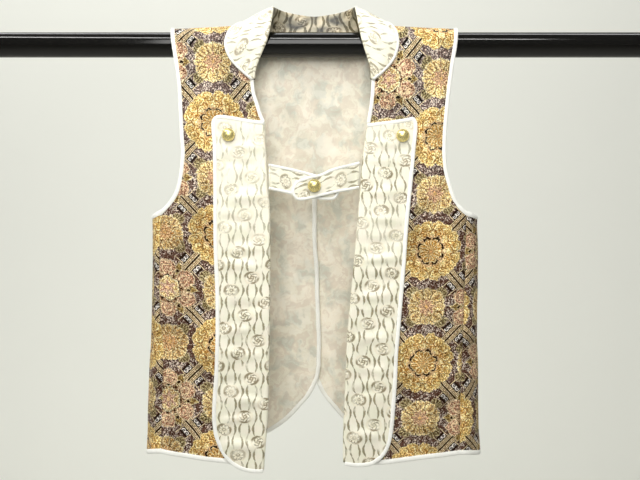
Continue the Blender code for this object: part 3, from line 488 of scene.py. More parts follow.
def swell(form, side, u, v):
    """How far the cloth stands out of its plain form."""
    if form is front_point:
        seam = seam_u(side, v)
        edge = np.where(v > -180, smooth(ARMHOLE["v"], column(ARMHOLE, side), v), seam)
        lift = crease_lift(FRONT_CREASES[side], u, v) + 0.7 * drift(u, v, 3 + side, 70)
        free = ease((edge - u) / 16) * ease((-v - 8) / 30)
        chest = 1 - 0.8 * np.exp(-((v + 158) / 30) ** 2) * (1 - ease((u - 60) / 30))
        dip = -0.9 * np.exp(-((seam - u) / 1.6) ** 2) * (v < -188)
        return lift * free * chest + dip - 0.8 * np.exp(-((TOP_V - v) / 1.8) ** 2)
    if form is back_point:
        seam = seam_u(side, v)
        lift = crease_lift(BACK_CREASES[side], u, v) + 0.8 * drift(side * u, v, 11, 80)
        free = ease((seam - u) / 16) * ease((-v - 25) / 50)
        dip = -0.9 * np.exp(-((seam - u) / 1.6) ** 2) * (v < -188)
        centre = -0.7 * np.exp(-(u / 1.5) ** 2) * (v > VENT_TOP)
        return lift * free + dip + centre - 0.8 * np.exp(-((TOP_V - v) / 1.8) ** 2)
    q = u
    out = np.zeros_like(q)
    for q0, v0, q1, v1, height, width in zip(*(GUSSET_CREASES[k] for k in
                                                ("q0", "v0", "q1", "v1", "height", "width"))):
        s = (v - v0) / (v1 - v0)
        off = q - (q0 + (q1 - q0) * s)
        out += height * ease(s / 0.3) * ease((1 - s) / 0.3) * np.exp(-(off / width) ** 2)
    dip = -0.9 * (np.exp(-(q / 0.03) ** 2) + np.exp(-((1 - q) / 0.03) ** 2))
    return out * np.sin(math.pi * np.clip(q, 0, 1)) + dip


def put(form, side, u, v, lift=0.0):
    """Point of the creased cloth at (u, v), moved out of it by lift."""
    u, v = np.broadcast_arrays(np.atleast_1d(np.asarray(u, float)), np.atleast_1d(np.asarray(v, float)))
    u, v = u.copy(), v.copy()
    out = {front_point: FRONT_OUT, back_point: BACK_OUT}.get(form, (side, 0, 0))
    n = normals(form, side, u, v, out)
    return form(side, u, v) + n * np.reshape(np.asarray(lift) + swell(form, side, u, v), (-1, 1))


def resample(path, step):
    d = np.concatenate([[0], np.cumsum(np.linalg.norm(np.diff(path, axis=0), axis=1))])
    at = np.linspace(0, d[-1], max(3, int(round(d[-1] / step)) + 1))
    return np.column_stack([np.interp(at, d, path[:, 0]), np.interp(at, d, path[:, 1])])


def edge(path, step=None):
    p = resample(path, step or STEP)
    return p, inward(p)


def fill_fine(ring, step=None):
    """Triangles of a flat outline filled with a fine lattice, finer over the rod."""
    step = step or STEP
    us = np.arange(0, 200, step)
    vs = np.concatenate([np.linspace(TOP_V, 0, 13)[1:], -np.arange(step, 500, step)])
    grid = np.array([(u, v) for v in vs for u in us])
    lo, hi = ring.min(axis=0), ring.max(axis=0)
    grid = grid[((grid > lo) & (grid < hi)).all(axis=1)]
    grid = grid[inside(ring, grid)]
    grid = grid[clear_of(ring, grid, step * 0.4)]
    verts, _, faces, _, _, _ = delaunay_2d_cdt(
        [tuple(p) for p in np.vstack([ring, grid])], [], [list(range(len(ring)))], 1, 1e-4)
    return np.array([tuple(p) for p in verts]), [tuple(f) for f in faces]


# ------------------------------------------------------------------ pieces
COLL = bpy.data.collections.new("vest_look")
bpy.context.scene.collection.children.link(COLL)
LOOK = {}
SHOWN = []


def piece(name, points, faces, uv, looks, nodes, wall=0.0, inner=0, flip=False, weld_at=0.0,
          smooth_angle=40):
    """Mesh from points in millimetres, with the cloth's own map, thickened both ways."""
    mesh = bpy.data.meshes.new(name)
    if flip:
        faces = [tuple(reversed(f)) for f in faces]
    mesh.from_pydata([tuple(float(c) * MM for c in p) for p in points], [], faces)
    layer = mesh.uv_layers.new(name="cloth")
    uv = np.asarray(uv, float)
    idx = np.zeros(len(mesh.loops), np.int32)
    mesh.loops.foreach_get("vertex_index", idx)
    layer.data.foreach_set("uv", uv[idx].astype(np.float32).ravel())
    obj = bpy.data.objects.new(name, mesh)
    COLL.objects.link(obj)
    for look in looks:
        mesh.materials.append(LOOK[look])
    if weld_at:
        bm = bmesh.new()
        bm.from_mesh(mesh)
        bmesh.ops.remove_doubles(bm, verts=bm.verts, dist=weld_at * MM)
        bm.to_mesh(mesh)
        bm.free()
    mesh.validate()
    mesh.shade_smooth()
    if wall:
        mod = obj.modifiers.new("wall", "SOLIDIFY")
        mod.thickness = wall * MM
        mod.offset = 0.0
        mod.use_rim = True
        mod.use_even_offset = False
        mod.material_offset = inner
        mod.material_offset_rim = 0
    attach(obj, "root")
    if nodes:
        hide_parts(*nodes)
    SHOWN.append(obj)
    return obj


def strip(rows, closed=False, tube=False):
    """Faces between rows of points; in a tube each row is a closed loop with capped ends."""
    n, m = len(rows), len(rows[0])
    faces = []
    for i in range(n if closed else n - 1):
        j = (i + 1) % n
        for k in range(m if tube else m - 1):
            l = (k + 1) % m
            faces.append((i * m + k, i * m + l, j * m + l, j * m + k))
    if tube and not closed:
        faces.append(tuple(range(m))[::-1])
        faces.append(tuple((n - 1) * m + k for k in range(m)))
    return faces


LOOP = 14


def loop_rows(form, side, marks, width, lift, thick, puff=0):
    """Rows round a binding folded over an edge: a flattened oval, fuller at the fold."""
    p, n = marks
    width = np.broadcast_to(np.asarray(width, float), (len(p),))
    rows = []
    ang = np.linspace(0, 2 * math.pi, LOOP, endpoint=False)
    wob = 0.10 * np.sin(np.arange(len(p)) * 0.37 + puff) + 0.07 * np.sin(np.arange(len(p)) * 0.83 + 2 * puff)
    for k in range(LOOP):
        c, s = math.cos(ang[k]), math.sin(ang[k])
        across = (0.5 - 0.5 * math.copysign(abs(c) ** 0.85, c)) * (width + 0.7) - 0.35
        high = 0.5 * thick * (1 + wob) * math.copysign(abs(s) ** 0.75, s) * (1.0 + 0.12 * c)
        uv = p + n * across[:, None]
        v = np.minimum(uv[:, 1], TOP_V - 0.01)
        rows.append(put(form, side, uv[:, 0], v, lift + high))
    return np.stack(rows, axis=1)          # (marks, LOOP, 3)


def tube_uv(rows):
    """Length along the binding and distance round it, in millimetres."""
    mid = rows.mean(axis=1)
    along = np.concatenate([[0], np.cumsum(np.linalg.norm(np.diff(mid, axis=0), axis=1))])
    width = np.linalg.norm(rows[:, 0] - rows[:, LOOP // 2], axis=1).mean()
    around = np.array([k if k <= LOOP // 2 else LOOP - k for k in range(LOOP)]) / (LOOP / 2) * width
    return np.array([(a, r) for a in along for r in around])


def binding(name, node, rows, closed=False):
    rows = np.asarray(rows)
    pts = rows.reshape(-1, 3)
    return piece(name, pts, strip(rows, closed, True), tube_uv(rows), ["binding"], [node])


def settle(marks, end, count=5):
    """Near a side seam the inward direction turns along the seam, so that bindings meet."""
    p, n = marks[0].copy(), marks[1].copy()
    last = n[end].copy()
    for k in range(count):
        i = k if end == 0 else -1 - k
        t = ease(np.array([1 - k / count]))[0]
        up = np.array([0.0, math.copysign(1.0 / max(abs(last[1]), 0.3), last[1])])
        n[i] = n[i] * (1 - t) + up * t
    return p, n


def arm_edge(side):
    return settle(edge(edge_armhole(side), STRIP), -1)


def front_hem_edge(side):
    return settle(edge(edge_front_hem(side), STRIP), 0)


def back_hem_edge(side):
    return settle(edge(edge_back_hem(side), STRIP), 0)


def gusset_top(side, q):
    start = edge_armhole(side)[-1][1]
    return start - (192.6 + start) * np.sin(math.pi * q)


def gusset_bottom(side, q):
    a = float(smooth(HEM["u"], column(HEM, side), seam_u(side, -453.0)))
    b = -451.0
    return a + (b - a) * q - 6.0 * np.sin(math.pi * q) ** 2


# --------------------------------------------------- where the pattern falls
# across: distance from the centre line of a column of rosettes; along: half repeats
COLUMN = {
    -1: dict(v=(30, -22.3, -89.2, -151.0, -213.4, -276.4, -335.2, -397.6, -457.6, -484.6),
             u=(111.5, 111.6, 110.6, 108.5, 105.4, 101.3, 99.6, 100.8, 104.0, 104.6),
             n=(0.22, 1, 2, 3, 4, 5, 6, 7, 8, 8.45)),
    1: dict(v=(30, -41.3, -104.8, -168.8, -231.2, -292.2, -353.1, -412.9, -469.2, -480),
            u=(140.3, 140.4, 136.5, 132.7, 128, 122.8, 118.9, 115.5, 112.2, 111.5),
            n=(0.0, 1, 2, 3, 4, 5, 6, 7, 8, 8.2))}
HALF_U, HALF_V = 58.0, 62.0


def front_uv(side, u, v):
    """Place in the woven repeat, in millimetres.  The cloth turns away near its side."""
    t = COLUMN[side]
    col = smooth(t["v"], t["u"], v)
    if side < 0:
        v = v - 0.085 * ease((-v - 140) / 120) * (u - col)      # its rows rise to the side
    return np.column_stack([side * (u - col), smooth(t["v"], t["n"], v) * HALF_V])


def gusset_start(side, v):
    """Place in the repeat along a gusset's front seam; each gusset was cut on its own."""
    if side < 0:
        return np.column_stack([28.5 + 0 * v, front_uv(side, seam_u(side, v), v)[:, 1]])
    across = smooth((-180, -262, -320, -396, -455), (33, 29, 24, 16, 14), v)
    return np.column_stack([across, front_uv(side, seam_u(side, v), v)[:, 1] + HALF_V])


def back_uv(side, u, v):
    return np.column_stack([side * u, (TOP_V - v) + 14.0])


def grain_uv(u, v, lean=0.0, shift=(0.0, 0.0)):
    return np.column_stack([u + lean * v + shift[0], v + shift[1]])


# ------------------------------------------------------------- the garment
LAPEL_RISE = LAPEL_LIFT + 0.5      # the lapel's soft cloth stands a little off the front
BEND = 2.3                         # how far in from the fold the lapel begins to roll


def make_front(side):
    arm, hem = arm_edge(side), front_hem_edge(side)
    fold = edge(edge_fold(side, hem[0][-1][1]))
    seam = edge(edge_side(side, arm[0][-1][1], hem[0][0][1]))
    under = np.where(fold[0][:, 1] > -44, 1.3, np.where(fold[0][:, 1] > -89, 1.0, 2.2))
    ring = outline([(edge(edge_shoulder(side)), 0.1), (arm, 1.2), (seam, 0.05), (hem, 1.4),
                    (fold, under)])
    uv, faces = fill_fine(ring)
    pts = put(front_point, side, uv[:, 0], uv[:, 1])
    name = SIDE_NAME[side]
    return piece("front_%s_brocade" % name, pts, faces, front_uv(side, uv[:, 0], uv[:, 1]),
                 ["gold", "lining"], ["front_" + name], FRONT_WALL - 0.2, 1,
                 flip=side < 0)


def back_outline(side, neck_in, rim=(1.2, 1.4)):
    hem, arm = back_hem_edge(side), arm_edge(side)
    seam = edge(edge_side(side, arm[0][-1][1], hem[0][0][1]))
    slit_path = edge_vent(VENT_TOP)
    centre_path = np.array([(0.0, v) for v in np.linspace(VENT_TOP, BACK_NECK["v"][0], 80)])
    slit, n = edge(slit_path)
    centre, cn = edge(centre_path)
    taper = rim[1] * ease((VENT_TOP - slit[:, 1]) / 6.0)
    spine = (np.vstack([slit + n * taper[:, None], centre[1:]]), np.vstack([n, cn[1:]]))
    return outline([(edge(edge_shoulder(side)), 0.1), (arm, rim[0]), (seam, 0.05), (hem, rim[1]),
                    (spine, 0.0), (edge(edge_back_neck()), neck_in)])


def crumple(side, uv, tris):
    """How far the lining hangs in from the back: soft puckers, none at its sewn edges."""
    uses = {}
    for t in tris:
        for a, b in zip(t, t[1:] + t[:1]):
            uses[(min(a, b), max(a, b))] = uses.get((min(a, b), max(a, b)), 0) + 1
    rim = uv[sorted({i for e, n in uses.items() if n == 1 for i in e})]
    rim = rim[(rim[:, 0] > 0.3) | (rim[:, 1] < VENT_TOP)]
    far = np.array([np.hypot(*(rim - p).T).min() for p in uv])
    u, v = side * uv[:, 0], uv[:, 1]
    t = LINING_CREASES
    folds = crease_lift({k: np.array(x) for k, x in t.items()}, u, v)
    soft = drift(u, v, 31, 24) * 0.55 + drift(u + 40, v * 0.8, 47, 46) * 0.6
    return ease(far / 14) * (0.9 + np.clip(folds + soft, -0.9, 2.0))


def make_back(name, node, wall, lift, looks, lining):
    points, faces, maps = [], [], []
    for side in (-1, 1):
        uv, tris = fill_fine(back_outline(side, 1.0, (2.6, 2.8) if lining else (1.2, 1.4)))
        uv[np.abs(uv[:, 0]) < 0.05, 0] = 0.0
        base = len(points)
        points += list(put(back_point, side, uv[:, 0], uv[:, 1],
                           lift - (crumple(side, uv, tris) if lining else 0.0)))
        if (side > 0) != lining:
            tris = [tuple(reversed(t)) for t in tris]
        faces += [tuple(base + i for i in t) for t in tris]
        maps += list(back_uv(side, uv[:, 0], uv[:, 1]))
    return piece(name, points, faces, maps, looks, [node], wall, 0, weld_at=0.08)


def make_gusset(side):
    q = (1 - np.cos(np.linspace(0.02, math.pi - 0.02, 34))) / 2
    top = gusset_top(side, q) - 1.2
    bottom = gusset_bottom(side, q) + 1.4
    count = int(260 / STEP)
    rows, maps = [], []
    for k in range(count + 1):
        t = k / count
        v = top + (bottom - top) * t
        row = put(gusset_point, side, q, v)
        along = np.concatenate([[0], np.cumsum(np.linalg.norm(np.diff(row, axis=0), axis=1))])
        start = gusset_start(side, v)
        rows.append(row)
        maps += list(start + np.column_stack([side * along, 0 * along]))
    pts = np.vstack(rows)
    name = SIDE_NAME[side]
    return piece("side_%s_brocade" % name, pts, strip(rows), maps, ["gold", "lining"],
                 ["side_" + name], FRONT_WALL - 0.2, 1, flip=side > 0)


def lapel_edge(side):
    top, free = edge_lapel(side)
    path = np.vstack([top, free])
    path = path[np.concatenate([[True], np.linalg.norm(np.diff(path, axis=0), axis=1) > 1e-6])]
    for _ in range(4):
        path[1:-1] = 0.25 * path[:-2] + 0.5 * path[1:-1] + 0.25 * path[2:]
    return edge(path, STRIP)


def lapel_wave(side, u, v):
    """The lapel's own ripples, quiet under its binding."""
    fold = smooth(FOLD["v"], column(FOLD, side), v)
    free = smooth(LAPEL["v"][::-1], column(LAPEL, side)[::-1], np.clip(v, -427, -84))
    calm = ease((free - u) / 9) * ease((v + 466) / 16) * ease((-86 - v) / 8) * ease((u - fold + 2) / 7)
    raw = crease_lift(LAPEL_CREASES[side], u, v) + 0.35 * drift(u, v, 21 + side, 44)
    return np.maximum(raw * 1.4, -0.62) * calm * 1.7


def lapel_uv(side, u, v):
    lean = 0.0 if side < 0 else -0.062
    return np.column_stack([side * (u + lean * (-v - 90)), v + (0 if side < 0 else 9)])


def make_lapel(side):
    border = lapel_edge(side)
    bottom, top = border[0][-1][1], border[0][0][1]
    path = edge_fold(side, bottom)
    fold = edge(path[path[:, 1] <= top])
    ring = outline([(border, 1.1), (fold, BEND)])
    uv, faces = fill_fine(ring)
    pts = list(put(front_point, side, uv[:, 0], uv[:, 1],
                   LAPEL_RISE + lapel_wave(side, uv[:, 0], uv[:, 1])))
    maps = list(lapel_uv(side, uv[:, 0], uv[:, 1]))
    # the roll: from the lapel's face round the fold to the inside of the front
    p, n = fold
    q = p + n * BEND
    near = [i for i in range(len(ring)) if np.min(np.hypot(*(q - ring[i]).T)) < 0.02]
    rail = sorted((ring[i] for i in near), key=lambda c: c[1])
    rail = np.array(rail)
    turn = np.linspace(0, math.pi, 9)
    rows = []
    for k, a in enumerate(list(turn) + [math.pi + 1, math.pi + 2]):
        if a <= math.pi:
            out = math.sin(a) * (BEND - 0.1)
            lift = -0.9 + (LAPEL_RISE + 0.9) * (0.5 + 0.5 * math.cos(a)) + 0.35 * math.sin(a) * math.cos(a)
        else:
            out, lift = -(a - math.pi) * 3.0, -1.25
        u = rail[:, 0] - out
        wave = lapel_wave(side, rail[:, 0], rail[:, 1]) * (0.5 + 0.5 * math.cos(min(a, math.pi)))
        row = put(front_point, side, rail[:, 0], rail[:, 1], lift + wave)
        row[:, 0] = row[:, 0] - side * out
        rows.append(row)
        along = (0 if k == 0 else abs(out) * 0.9 + (a if a <= math.pi else math.pi) * 1.1)
        maps += list(lapel_uv(side, rail[:, 0] - along, rail[:, 1]))
    base = len(pts)
    pts += list(np.vstack(rows))
    turned = [tuple(base + i for i in f) for f in strip(rows)]
    name = SIDE_NAME[side]
    obj = piece("lapel_%s_brocade" % name, pts, faces + turned, maps, ["cream"], ["lapel_" + name],
                LAPEL_WALL - 0.2, 0, weld_at=0.03)
    bm = bmesh.new()
    bm.from_mesh(obj.data)
    bmesh.ops.recalc_face_normals(bm, faces=bm.faces)
    bm.to_mesh(obj.data)
    bm.free()
    return obj


def catmull(rows, per):
    """Rows of points carried through smoothly, with per rows between two of them."""
    rows = np.asarray(rows, float)
    ext = np.concatenate([[2 * rows[0] - rows[1]], rows, [2 * rows[-1] - rows[-2]]])
    out = []
    for i in range(len(rows) - 1):
        p0, p1, p2, p3 = ext[i:i + 4]
        for k in range(per):
            t = k / per
            out.append(0.5 * (2 * p1 + (p2 - p0) * t + (2 * p0 - 5 * p1 + 4 * p2 - p3) * t * t
                              + (3 * p1 - p0 - 3 * p2 + p3) * t**3))
    out.append(rows[-1])
    return np.array(out)


def collar_controls():
    n = len(COLLAR["neck_v"])
    order = [(-1, i) for i in range(n)] + [(1, i) for i in range(n - 2, -1, -1)]
    forms = {-1: front_point, 1: back_point}
    neck, edge_p, far, roll = [], [], [], []
    for side, i in order:
        g = lambda key: COLLAR[key + "_" + SIDE_NAME[side]][i]
        f_neck, f_edge = forms[COLLAR["neck_face"][i]], forms[COLLAR["edge_face"][i]]
        out = FRONT_WALL / 2 + 1.3 + COLLAR_WALL / 2
        neck.append(lay(f_neck, side, g("neck"), COLLAR["neck_v"][i], 0.1 if i < 6 else 0.0)[0])
        edge_p.append(lay(f_edge, side, g("edge"), COLLAR["edge_v"][i], out)[0])
        far.append(lay(f_edge, side, g("edge"), COLLAR["edge_v"][i], out + 4.0)[0])
        roll.append([side * g("roll"), COLLAR["roll_y"][i], COLLAR["roll_z"][i]])
    per = 7
    return [catmull(x, per) for x in (neck, edge_p, far, roll)]


def collar_sections():
    """Each section: the stand up from the neck seam, the roll, and the fall to its edge."""
    sections, rims = [], []
    neck, rim, far, roll = collar_controls()
    for k in range(len(neck)):
        a, b, f, r = neck[k], rim[k], far[k], roll[k]
        up = r - a
        length = np.linalg.norm(up)
        up = up / length
        over = (b - r) - ((b - r) @ up) * up
        over /= np.linalg.norm(over)
        rad = min(1.6, 0.3 * length)
        lift = (f - b) / 4.0
        reach = np.linalg.norm(b - r)
        c = 0.5 * (r + b) + lift * min(3.6, 0.22 * reach)
        p_in = r - up * rad
        p_out = r - up * rad + over * 2 * rad
        row = []
        for t in np.linspace(0, 1, 9):            # the stand, a little hollow
            row.append(a + (p_in - a) * t - over * 0.8 * math.sin(math.pi * t))
        for ang in np.linspace(0, math.pi, 7)[1:-1]:
            row.append(r - up * rad + over * rad * (1 - math.cos(ang)) + up * rad * math.sin(ang))
        stop = max(0.25, 1 - 1.6 / max(reach, 1e-3))
        for t in np.linspace(0, stop, 17):
            row.append((1 - t) ** 2 * p_out + 2 * t * (1 - t) * c + t * t * b)
        sections.append(np.array(row))
        d = (b - c) / np.linalg.norm(b - c)
        rims.append((b, d, lift / max(np.linalg.norm(lift), 1e-9)))
    return sections, rims


def make_collar():
    rows, rims = collar_sections()
    # shallow ripples across the fall, deeper near its points
    maps = []
    mid = np.array([r[12] for r in rows])
    along = np.concatenate([[0], np.cumsum(np.linalg.norm(np.diff(mid, axis=0), axis=1))])
    along -= along[-1] / 2
    shaped = []
    for k, row in enumerate(rows):
        seg = np.concatenate([[0], np.cumsum(np.linalg.norm(np.diff(row, axis=0), axis=1))])
        t = np.linspace(0, 1, len(row))
        wave = 0.55 * math.sin(along[k] * 0.11 + 0.6) + 0.4 * math.sin(along[k] * 0.23 + 2.0)
        b, d, up = rims[k]
        row = row + up[None] * (wave * ease((t - 0.5) / 0.25) * ease((1 - t) / 0.12))[:, None]
        shaped.append(row)
        maps += [(along[k], s + 3.0) for s in seg]
    pts = np.vstack(shaped)
    obj = piece("collar_brocade", pts, strip(shaped), maps, ["pale", "worn"], ["collar"],
                COLLAR_WALL - 0.2)
    across = len(shaped[0]) - 1
    for i, f in enumerate(obj.data.polygons):
        f.material_index = 1 if i % across < 10 else 0         # the stand, with painted shade darkening it
    bm = bmesh.new()
    bm.from_mesh(obj.data)
    bmesh.ops.recalc_face_normals(bm, faces=bm.faces)
    bm.to_mesh(obj.data)
    bm.free()
    tube = []
    ang = np.linspace(0, 2 * math.pi, LOOP, endpoint=False)
    for k, (b, d, up) in enumerate(rims):
        wob = 1 + 0.10 * math.sin(k * 0.5) + 0.06 * math.sin(k * 1.1)
        half, thick = BIND_COLLAR / 2 + 0.2, 1.45 * wob
        c = b - d * (half - 0.2)
        tube.append([c + d * half * math.cos(a) + up * thick * 0.95 * math.sin(a) for a in ang])
    return obj, binding("binding_collar_tape", "binding_collar", np.array(tube))


def strap_level(side, x):
    if side < 0:
        return np.full_like(x, -24.6)
    return -24.6 - (STRAP_WALL + SEAM_GAP + 0.9) * ease((46 - x) / 16)


def strap_path(side):
    table = STRAP_RIGHT if side < 0 else STRAP_LEFT
    x0, x1 = table["x"][0], table["x"][-1]
    step = 1 if x1 > x0 else -1
    xs = x0 + (x1 - x0) * np.sin(np.linspace(0, 1, 40) * math.pi / 2)
    mid, half = smooth(table["x"], table["mid"], xs), smooth(table["x"], table["half"], xs)
    a0 = math.atan2(half[-1], half[-1] * 0.55)
    tip = []
    for a in np.linspace(a0, -a0, 9)[1:-1]:
        tip.append((x1 + step * half[-1] * 0.55 * (math.cos(a) - math.cos(a0)), mid[-1] + half[-1] * math.sin(a) / math.sin(a0)))
    path = np.vstack([np.column_stack([xs, mid + half]), np.array(tip),
                      np.column_stack([xs, mid - half])[::-1]])
    return resample(path, 1.6), step


def strap_lift(side, x, z):
    """The tab is soft: it dips at its button and ripples beside it."""
    bx, bz = BUTTONS["u"][2], BUTTONS["v"][2]
    r = np.hypot(x - bx, z - bz)
    out = 0.9 * np.exp(-((r - 13) / 6) ** 2) - 0.5 * np.exp(-(r / 7) ** 2)
    out += 0.45 * np.sin((x * 0.9 + z * 0.35) * 0.23 + side) + 0.25 * np.sin((x - z) * 0.31)
    return np.where(side < 0, 0.25, 0.8) * out


def make_strap(side):
    path, step = strap_path(side)
    n = inward(path) * step
    ring = path + n * 1.0
    ring[0, 0], ring[-1, 0] = path[0, 0], path[-1, 0]
    lo, hi = ring.min(axis=0), ring.max(axis=0)
    pitch = 2.2
    grid = np.array([(x, z) for x in np.arange(lo[0], hi[0], pitch) for z in np.arange(lo[1], hi[1], pitch)])
    grid = grid[inside(ring, grid)]
    grid = grid[clear_of(ring, grid, 0.9)]
    verts, _, faces, _, _, _ = delaunay_2d_cdt([tuple(p) for p in np.vstack([ring, grid])], [],
                                               [list(range(len(ring)))], 1, 1e-4)
    xz = np.array([tuple(p) for p in verts])
    y = strap_level(side, xz[:, 0]) - strap_lift(side, xz[:, 0], xz[:, 1])
    name = SIDE_NAME[side]
    table = STRAP_RIGHT if side < 0 else STRAP_LEFT
    mid = smooth(table["x"], table["mid"], np.clip(xz[:, 0], min(table["x"]), max(table["x"])))
    maps = np.column_stack([xz[:, 0] * 1.02 + (4 if side < 0 else 11), xz[:, 1] - mid + (16 if side < 0 else 8)])
    faces = [tuple(f) for f in faces]
    pts = np.column_stack([xz[:, 0], y, xz[:, 1]])
    obj = piece("strap_%s_brocade" % name, pts, faces, maps, ["turned"], ["strap_" + name],
                STRAP_WALL - 0.2)
    bm = bmesh.new()
    bm.from_mesh(obj.data)
    bmesh.ops.recalc_face_normals(bm, faces=bm.faces)
    bm.to_mesh(obj.data)
    bm.free()
    rows = []
    ang = np.linspace(0, 2 * math.pi, LOOP, endpoint=False)
    for i, (p, d) in enumerate(zip(path, n)):
        half = BIND_STRAP / 2 + 0.3
        wob = 1 + 0.10 * math.sin(i * 0.6 + side)
        row = []
        for a in ang:
            at = p + d * (half - 0.3 - half * math.cos(a))
            level = float((strap_level(side, at[:1]) - strap_lift(side, at[:1], at[1:]))[0])
            row.append((at[0], level - 1.5 * wob * math.copysign(abs(math.sin(a)) ** 0.8, math.sin(a)), at[1]))
        rows.append(row)
    tape = binding("binding_strap_%s_tape" % name, "binding_strap_" + name, np.array(rows))
    return obj, tape


def make_bindings(side):
    name = SIDE_NAME[side]
    q = np.linspace(0, 1, 22)[1:-1]
    slant = abs(arm_edge(side)[1][-1][1])
    # armhole: down the front, under the arm, up the back
    arm = arm_edge(side)
    gus = []
    band = BIND_ARM * (1 + (slant - 1) * np.abs(np.cos(math.pi * q)) ** 1.5)
    gm = (np.column_stack([q, gusset_top(side, q)]), np.column_stack([np.zeros_like(q), -np.ones_like(q)]))
    front_rows = loop_rows(front_point, side, arm, BIND_ARM, 0.0, 3.0)
    under_rows = loop_rows(gusset_point, side, gm, band, -0.6 * ease(q), 3.0 + 0.8 * ease(q))
    back_rows = loop_rows(back_point, side, arm, BIND_ARM, -0.6, 3.8)[::-1]
    # on the back the outward side is reversed, so that the loops run the same way round
    rows = np.concatenate([front_rows, under_rows, back_rows[:-1]])
    made = [binding("binding_armhole_%s_tape" % name, "binding_armhole_" + name, rows, closed=True)]
    # neck edge between the collar's point and the lapel
    p, n = edge(edge_fold(side, -95.0), STRIP)
    keep = (p[:, 1] > -91) & (p[:, 1] < -41)
    rows = loop_rows(front_point, side, (p[keep], n[keep]), BIND_NECK, 0.0, 3.0)
    made.append(binding("binding_neck_%s_tape" % name, "binding_neck_" + name, rows))
    # lapel
    p, n = lapel_edge(side)
    rows = loop_rows(front_point, side, (p, n), BIND_LAPEL, LAPEL_RISE, 2.9, 1)
    made.append(binding("binding_lapel_%s_tape" % name, "binding_lapel_" + name, rows))
    # hem, gusset hem, back hem and vent
    f = front_hem_edge(side)
    front_rows = loop_rows(front_point, side, f, BIND_HEM, 0.0, 3.2, 2)[::-1]
    gm = (np.column_stack([q, gusset_bottom(side, q)]), np.column_stack([np.zeros_like(q), np.ones_like(q)]))
    under_rows = loop_rows(gusset_point, side, gm, BIND_HEM, -0.7 * ease(q), 3.2 + 0.8 * ease(q), 2)
    b = back_hem_edge(side)
    v = edge(edge_vent(VENT_TOP - 2), STRIP)
    bp = np.vstack([b[0], v[0][1:]])
    bn = np.vstack([b[1], v[1][1:]])
    for _ in range(3):
        bn[1:-1] = 0.25 * bn[:-2] + 0.5 * bn[1:-1] + 0.25 * bn[2:]
    width = np.where(bp[:, 1] > VENT_TOP - 12, 2.2 + 2.8 * ease((VENT_TOP - 2 - bp[:, 1]) / 10), BIND_HEM)
    back_rows = loop_rows(back_point, side, (bp, bn), width, -0.7, 4.0, 2)
    rows = np.concatenate([front_rows, under_rows, back_rows])
    made.append(binding("binding_hem_%s_tape" % name, "binding_hem_" + name, rows))
    return made


def turned(name, profile, at, axis_x, looks, nodes, slot, steps):
    """Solid turned from a profile of (radius, height); height runs to the front, or along x."""
    pts, faces = [], []
    for r, h in profile:
        for k in range(steps):
            a = 2 * math.pi * k / steps
            c, s = r * math.cos(a), r * math.sin(a)
            pts.append((at[0] + h, at[1] + c, at[2] + s) if axis_x else (at[0] + c, at[1] - h, at[2] + s))
    n = len(profile)
    for i in range(n - 1):
        for k in range(steps):
            l = (k + 1) % steps
            faces.append((i * steps + k, i * steps + l, (i + 1) * steps + l, (i + 1) * steps + k))
    faces.append(tuple(range(steps))[::-1])
    faces.append(tuple((n - 1) * steps + k for k in range(steps)))
    maps = [(k * 0.5, h) for r, h in profile for k in range(steps)]
    obj = piece(name, pts, faces, maps, looks, nodes)
    bm = bmesh.new()
    bm.from_mesh(obj.data)
    bmesh.ops.recalc_face_normals(bm, faces=bm.faces)
    bm.to_mesh(obj.data)
    bm.free()
    obj.data.set_sharp_from_angle(angle=math.radians(50))
    return obj


def make_button(i):
    side, u, v = BUTTONS["side"][i], BUTTONS["u"][i], BUTTONS["v"][i]
    if side:
        wave = float(lapel_wave(side, np.array([u]), np.array([v]))[0])
        at = put(front_point, side, u, v, LAPEL_RISE + wave + LAPEL_WALL / 2 + 0.1)[0]
    else:
        y = float((strap_level(1, np.array([u])) - strap_lift(1, np.array([u]), np.array([v])))[0])
        at = np.array([u, y - STRAP_WALL / 2 - 0.1, v])
    r, h = BUTTON_RADIUS, BUTTON_HEIGHT - 0.4
    profile = [(r * 0.50, 0.0), (r * 0.56, 0.5), (r * 0.62, 1.0), (r * 0.86, 1.3), (r * 0.95, 1.7)]
    for k in range(0, 23):
        a = math.radians(-10 + 100 * k / 22)
        rr = r * math.cos(a) ** 0.92 if a > 0 else r * math.cos(a)
        profile.append((max(rr, 0.12), 2.7 + (h - 2.7) * math.sin(a)))
    obj = turned(BUTTONS["name"][i] + "_dome", profile, at, False, ["brass"],
                 [BUTTONS["name"][i]], "button_gold", 56)
    return obj


def make_rod():
    half, r = ROD_LENGTH / 2, ROD_RADIUS
    profile = [(r - 1.6, -half), (r - 0.8, -half + 0.15), (r - 0.22, -half + 0.6), (r, -half + 1.5)]
    profile += [(r, x) for x in np.linspace(-half + 3, half - 3, 41)]
    profile += [(r, half - 1.5), (r - 0.22, half - 0.6), (r - 0.8, half - 0.15), (r - 1.6, half)]
    return turned("rod_tube", profile, (0, 0, 0), True, ["rod"], ["rod"], "rod", 112)


